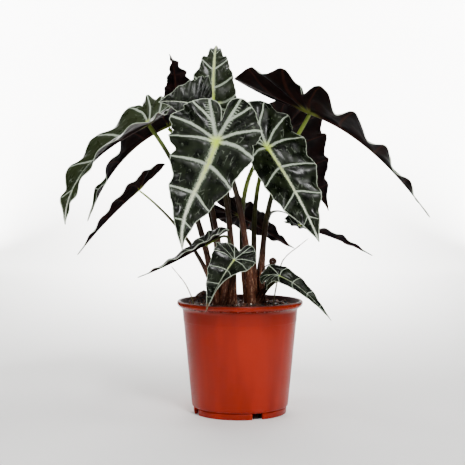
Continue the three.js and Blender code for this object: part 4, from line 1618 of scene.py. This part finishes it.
    def stem(self, skin: Material) -> Piece:
        """Shape the petiole: sheathed and grooved at its base, round above, and trimmed under the blade.

        Args:
            skin: its finish.

        Returns:
            The closed petiole.
        """
        line, share = self.sweep()
        thick, thin = self.petiole.radii
        radii = thin + (thick - thin) * np.clip(1 - share, 0, 1) ** STEM.taper
        radii[:3] = STEM.stub_radius
        radii *= 1 + 0.03 * rough_field(line, 12, self.phase + 0.5)
        stem, at, turn, out = tube(f"petiole_{self.name}_skin", line, radii, STEM.sides)
        at = np.interp(at, np.linspace(0, 1, len(share)), share)
        points = coordinates(stem)
        rise = points[:, 2] - PETIOLE_FOOT
        above_corm = ease(-8, 0, rise)
        # The sheath's two edges meet on the side that faces the clump's middle.
        centre = np.array([*self.petiole.clump.at, 0]) if self.petiole.slot else np.array([0, 1, 0])
        inward = unit((centre - line[3]) * (1, 1, 0))
        facing, radius = out @ inward, np.interp(at, share, radii)
        seam = STEM.sheath * ease(-0.4, 0.9, facing) - STEM.groove * ease(0.9, 0.995, facing)
        nearest = line[np.searchsorted(share, at).clip(0, len(share) - 1)]
        off_pole = np.linalg.norm(points - nearest, axis=1) > 0.3
        points += out * (radius * ease(85, 25, rise) * above_corm * seam * off_pole)[:, None]
        if self.petiole.slot:
            # The sheaths wrap each other, so low down a petiole is wider round its clump than across.
            around = np.array([-inward[1], inward[0], 0])
            spread = STEM.spread * ease(70, 15, rise) * above_corm * radius * (out @ around)
            points += np.outer(spread * off_pole, around)
        face = self.axes(np.zeros(1))[1][0]
        top = np.array(self.junction) - face * (FORM.thickness * 0.3)
        points -= np.outer(np.maximum(0, (points - top) @ face), face)
        set_coordinates(stem, points)
        wrap_skin(stem, turn, rise, np.clip(at * (1 + self.petiole.green), 0, 1))
        weld(stem)
        stem.data.materials.append(skin)
        return stem

    def build(self, skins: LeafSkins) -> None:
        """Make the blade and the petiole.

        Args:
            skins: the finishes that all leaves share.
        """
        finish(self.blade(skins), 75, Slot.BLADE, [f"blade_{self.name}"])
        finish(self.stem(skins.stalk), 60, Slot.PETIOLE, [f"petiole_{self.name}"])


LEAVES = (
    Leaf(
        "front", junction=(-31, -76, 362), length=150, half_width=(55, 66), lobes=(1.05, 0.9),
        heading=(-131, -152, -60), pitch=(-70, -62, -78), roll=(38, 58, 10), fold=((12, 10), 8),
        curl=(-20, -20), ruffle=3, phase=10, scallop=0.07, fullness=(0.3, 0),
        petiole=Petiole(Clump.RIGHT, 5, (5, 3.2), (-5, 0, 110), (0.35, 0.85, -0.5), 60, -0.3),
    ),
    Leaf(
        "right_front", junction=(36, -31, 355), length=142, half_width=(58, 56), lobes=(1.2, 1.1),
        heading=(-20, -22, -30), pitch=(-54, -59, -66), roll=(-35, -55, -65), fold=((14, 10), (25, 14)),
        curl=(-20, -10), ruffle=3, phase=80, fullness=(0.35, 0.35), scallop=0.04, vein_width=0.66,
        petiole=Petiole(Clump.RIGHT, 4, (4.4, 2.8), (-14, -2, 120), (-0.7, 0.4, -0.7), 50, 0.35),
    ),
    Leaf(
        "right_back", junction=(57, 57, 374), length=138, half_width=(42, 69), lobes=(1.1, 1),
        heading=(45, 35, 10), pitch=(-38, -49, -68), roll=40, fold=((15, 10), 10), curl=(-20, -20),
        ruffle=4, phase=150, scallop=0.1,
        petiole=Petiole(Clump.RIGHT, 0, (4.4, 2.6), (-4, 4, 130), (-0.7, -0.5, -0.7), 60, 0.45),
    ),
    Leaf(
        "far_right", junction=(93, -10, 403), length=216, half_width=(42, 58), lobes=(0.3, 1.25),
        heading=(-19, -21, -24), pitch=(-20, -42, -53), fold=((10, 0), (37, 22)), curl=(10, 10), ruffle=4.5,
        phase=220, scallop=0.3,
        petiole=Petiole(Clump.RIGHT, 1, (4.8, 2.6), (-8, 4, 150), (-0.4, 0.5, -0.8), 60, 0.25),
    ),
    Leaf(
        "top", junction=(-37, 5, 417), length=98, half_width=(36, 40), heading=(78, 84, 84),
        pitch=(80, 66, 20), fold=(20, 15), curl=(10, 10), ruffle=3.5, phase=30, paleness=0.15,
        vein_width=1.1, yellow_reach=2.2, fullness=(0.3, 0.3),
        petiole=Petiole(Clump.LEFT, 2, (4.8, 2.8), (4, 4, 170), (0.1, 0.3, -1), 60),
    ),
    Leaf(
        "top_left", junction=(-54, -36, 412), length=54, half_width=(36, 42), lobes=(0.6, 0.7), heading=185,
        pitch=(10, 5, -10), roll=65, fold=(15, 15), ruffle=1, phase=300, vein_width=0.3, yellow_reach=0.3,
        side_veins=0.25, petiole=Petiole(Clump.LEFT, 1, (4.6, 2.4), (0, 0, 160), (0.3, 0.5, -1), 50),
    ),
    Leaf(
        "top_back", junction=(-86, 11, 427), length=58, half_width=(30, 25), heading=(-110, -120, -130),
        pitch=(80, 78, 50), fold=((35, 10), (22, 10)), curl=(0, 0), ruffle=3, phase=200, vein_width=0.6,
        petiole=Petiole(Clump.LEFT, 0, (4.6, 2.2), (-6, 4, 130), (0.4, 0.1, -1), 60),
    ),
    Leaf(
        "far_left", junction=(-123, -2, 389), length=186, half_width=(40, 48), lobes=(0.6, 0.52),
        heading=(180, 180, 184), pitch=(-28, -46, -92), roll=(0, 10, 80), fold=((0, 5, 0), (50, 40, 10)),
        curl=(0, -10), ruffle=3, phase=120, fullness=(0.45, 0.45), paleness=0.38, scallop=0.1,
        vein_width=0.75, petiole=Petiole(Clump.LEFT, 4, (5, 2.8), (-14, 0, 90), (0.6, -0.1, -0.8), 90),
    ),
    Leaf(
        "left", junction=(-100, 59, 388), length=180, half_width=(40, 44), lobes=(0.7, 0.7), heading=176,
        pitch=(-22, -51, -70), roll=(-8, 5, 60), fold=((45, 24), (40, 24)), ruffle=3, phase=60, paleness=0.42,
        scallop=0.2, vein_width=0.8,
        petiole=Petiole(Clump.LEFT, 3, (4.8, 2.6), (-6, 8, 100), (0.7, -0.1, -0.7), 70),
    ),
    Leaf(
        "left_low", junction=(-134, -30, 301), length=118, half_width=(22, 18), heading=187,
        pitch=(-40, -47, -52), fold=((45, 40), (45, 40)), ruffle=1.2, phase=90, vein_width=0.6,
        petiole=Petiole(Clump.LEFT, 5, (4, 1.3), (-6, 0, 50), (0.8, 0, -0.6), 60),
    ),
    Leaf(
        "low_left", junction=(-46, -52, 230), length=98, half_width=(18, 20), lobes=(0.9, 0.9),
        heading=(188, 190, 194), pitch=(-30, -26, -18), roll=(10, 0, -10), fold=((30, 25), 25), ruffle=1.2,
        phase=170, vein_width=0.4,
        petiole=Petiole(Clump.LEFT, 6, (3.6, 1.5), (22, -10, 110), (0.8, 0.3, 0.5), 36),
    ),
    Leaf(
        "front_low", dry_tip=0.16, junction=(-8, -90, 212), length=75, half_width=(28, 31), lobes=(0.9, 0.5),
        heading=(-160, -154, -140), pitch=(-52, -58, -62), roll=62, fold=((25, 80, 85), (10, 10)), ruffle=1,
        phase=250, fullness=(0.2, 0.2), vein_width=0.5, yellow_reach=0.45,
        petiole=Petiole(Clump.LEFT, 7, (3.8, 2), (4, -10, 50), (0.2, 0.9, -0.2), 26),
    ),
    Leaf(
        "low_right", junction=(52, -38, 187), length=90, half_width=(18, 16), lobes=(0.7, 0.9), heading=-8,
        pitch=(-22, -42, -50), roll=-45, fold=(10, 25), ruffle=0.6, phase=340, lobe_drop=180, vein_width=0.5,
        yellow_reach=0.3, petiole=Petiole(Clump.RIGHT, 6, (3.6, 2), (6, -4, 20), (-0.5, 0.6, -0.6), 16),
    ),
    Leaf(
        "back_low", junction=(0, 62, 264), length=96, half_width=(26, 26), lobes=(1.1, 1.1), heading=20,
        pitch=(-24, -32, -28), roll=50, fold=((10, 15), (10, 15)), curl=(0, 0), ruffle=3, phase=40,
        vein_width=0.6, petiole=Petiole(Clump.RIGHT, 3, (3.8, 2), (0, 6, 60), (0.1, -0.9, -0.5), 24),
    ),
    Leaf(
        "right_low", junction=(83, 40, 250), length=112, half_width=(17, 17), lobes=(0.5, 0.5), heading=9,
        pitch=(-16, -22, -28), roll=(-30, 25, 40), fold=(25, 25), ruffle=1.5, phase=280, vein_width=0.5,
        petiole=Petiole(Clump.RIGHT, 2, (4.2, 1.8), (6, 14, 190), (-0.2, 0.8, 0.6), 50),
    ),
)

DRY_STALKS = (
    DryStalkMaker(Clump.LEFT, 1.1, 0.5, ((-62, -25, 134), (-62, -25, 150), (-72, -33, 176), (-91, -45, 201))),
    DryStalkMaker(
        Clump.RIGHT, 1.2, 0.6,
        ((45, -10, 134), (45, -10, 150), (53, -12, 193), (62, -14, 212), (92, -18, 236)),
    ),
)


# -------------------- studio


@dataclass(frozen=True)
class SoftBox:
    """A square studio light: its place and aim and its side in m, and its power in W."""

    name: str
    at: Spot
    aim: Spot
    side: float
    power: float

    def build(self) -> None:
        """Hang the light and aim it."""
        lamp = bpy.data.lights.new(self.name, "AREA")
        lamp.shape, lamp.size, lamp.energy = "SQUARE", self.side, self.power
        light = bpy.data.objects.new(self.name, lamp)
        light.location = self.at
        light.rotation_euler = (Vector(self.aim) - Vector(self.at)).to_track_quat("-Z", "Y").to_euler()
        bpy.context.collection.objects.link(light)


@dataclass(frozen=True)
class Studio:
    """A pale sweep, black flags, soft light and a camera a little above the plant's middle, in metres."""

    camera_at: Spot = (-0.0101, -1.614, 0.319)
    camera_tilt: float = 87.3
    focal_length: float = 92.9
    sensor: float = 36  # mm, as the focal length is
    sweep_reach: tuple[float, float] = (-3.0, 2.4)
    sweep_height: float = 3.0
    sweep_bend: float = 0.9
    sweep_half_width: float = 4.0
    world: float = 0.25
    flag_line: tuple[Point, Point] = ((0.5, -0.3), (0.95, 2.6))
    flag_height: float = 0.7
    boxes: tuple[SoftBox, ...] = (
        SoftBox("key", (0.5, -1.6, 1.9), (0, 0, 0.25), 0.45, 52),
        SoftBox("fill", (-1.5, -1.1, 1.8), (0, 0, 0.3), 0.7, 15),
        SoftBox("top", (0.1, 0.0, 2.3), (0, 0, 0.2), 0.6, 9),
        SoftBox("backdrop_left", (-1.6, 1.3, 1.6), (-0.5, 3.3, 1.0), 1.2, 420),
        SoftBox("backdrop_right", (1.6, 1.3, 1.6), (0.5, 3.3, 1.0), 1.2, 420),
    )

    def camera(self) -> None:
        """Set the camera where the photographer stood."""
        data = bpy.data.cameras.new("camera")
        data.lens, data.sensor_width = self.focal_length, self.sensor
        camera = bpy.data.objects.new("camera", data)
        camera.location = self.camera_at
        camera.rotation_euler = (math.radians(self.camera_tilt), 0, 0)
        bpy.context.collection.objects.link(camera)
        bpy.context.scene.camera = camera

    def sweep(self) -> None:
        """Lay the floor and curve it up behind the plant."""
        front, back = self.sweep_reach
        bend = np.linspace(0, math.pi / 2, 25)
        run = [(front, 0.0)]
        run += [(back + self.sweep_bend * math.sin(a), self.sweep_bend * (1 - math.cos(a))) for a in bend]
        run = np.array(run + [(back + self.sweep_bend, self.sweep_height)])
        floor, u, v = grid_sheet("sweep", len(run) - 1, 2)
        y, z = run[np.round(u * (len(run) - 1)).astype(int)].T
        set_coordinates(floor, np.stack([(2 * v - 1) * -self.sweep_half_width, y, z], axis=-1) / MM)
        floor.data.materials.append(MattSheet().material())
        smooth_shading(floor, 60)

    def flag(self, side: int) -> None:
        """Stand a black flag beside the view, which keeps the bright sweep out of the reflections. The camera
        doesn't see it, so that it hides nothing from another side.

        Args:
            side: 1 for right and -1 for left.
        """
        card, u, v = grid_sheet(f"flag_{'right' if side > 0 else 'left'}", 1, 1)
        start, end = np.array(self.flag_line)
        x, y = (start + (end - start) * u[:, None]).T
        set_coordinates(card, np.stack([side * x, y, v * self.flag_height], axis=-1) / MM)
        card.data.materials.append(MattSheet("black felt", "#050505", 1).material())
        card.visible_camera = False

    def build(self) -> None:
        """Set up the sweep, the flags, the lights and the sky."""
        self.sweep()
        self.flag(1)
        self.flag(-1)
        for box in self.boxes:
            box.build()
        sky = bpy.data.worlds.new("soft white sky")
        sky.use_nodes = True
        background = sky.node_tree.nodes["Background"]
        background.inputs["Color"].default_value = (1, 1, 1, 1)
        background.inputs["Strength"].default_value = self.world
        bpy.context.scene.world = sky


def main() -> None:
    """Build the studio, the pot with what fills it, and the plant."""
    logging.basicConfig(level=logging.INFO, format="%(message)s")
    studio = Studio()
    studio.camera()
    studio.build()
    PotMaker().build()
    SoilMaker().build()
    for clump in Clump:
        CormMaker().build(clump)
    for stalk in DRY_STALKS:
        stalk.build()
    skins = LeafSkins(UpperLeafSkin().material(), UnderLeafSkin().material(), PetioleSkin().material())
    for leaf in LEAVES:
        leaf.build(skins)
    CurledShoot().build(skins.stalk)


if __name__ == "__main__":
    main()
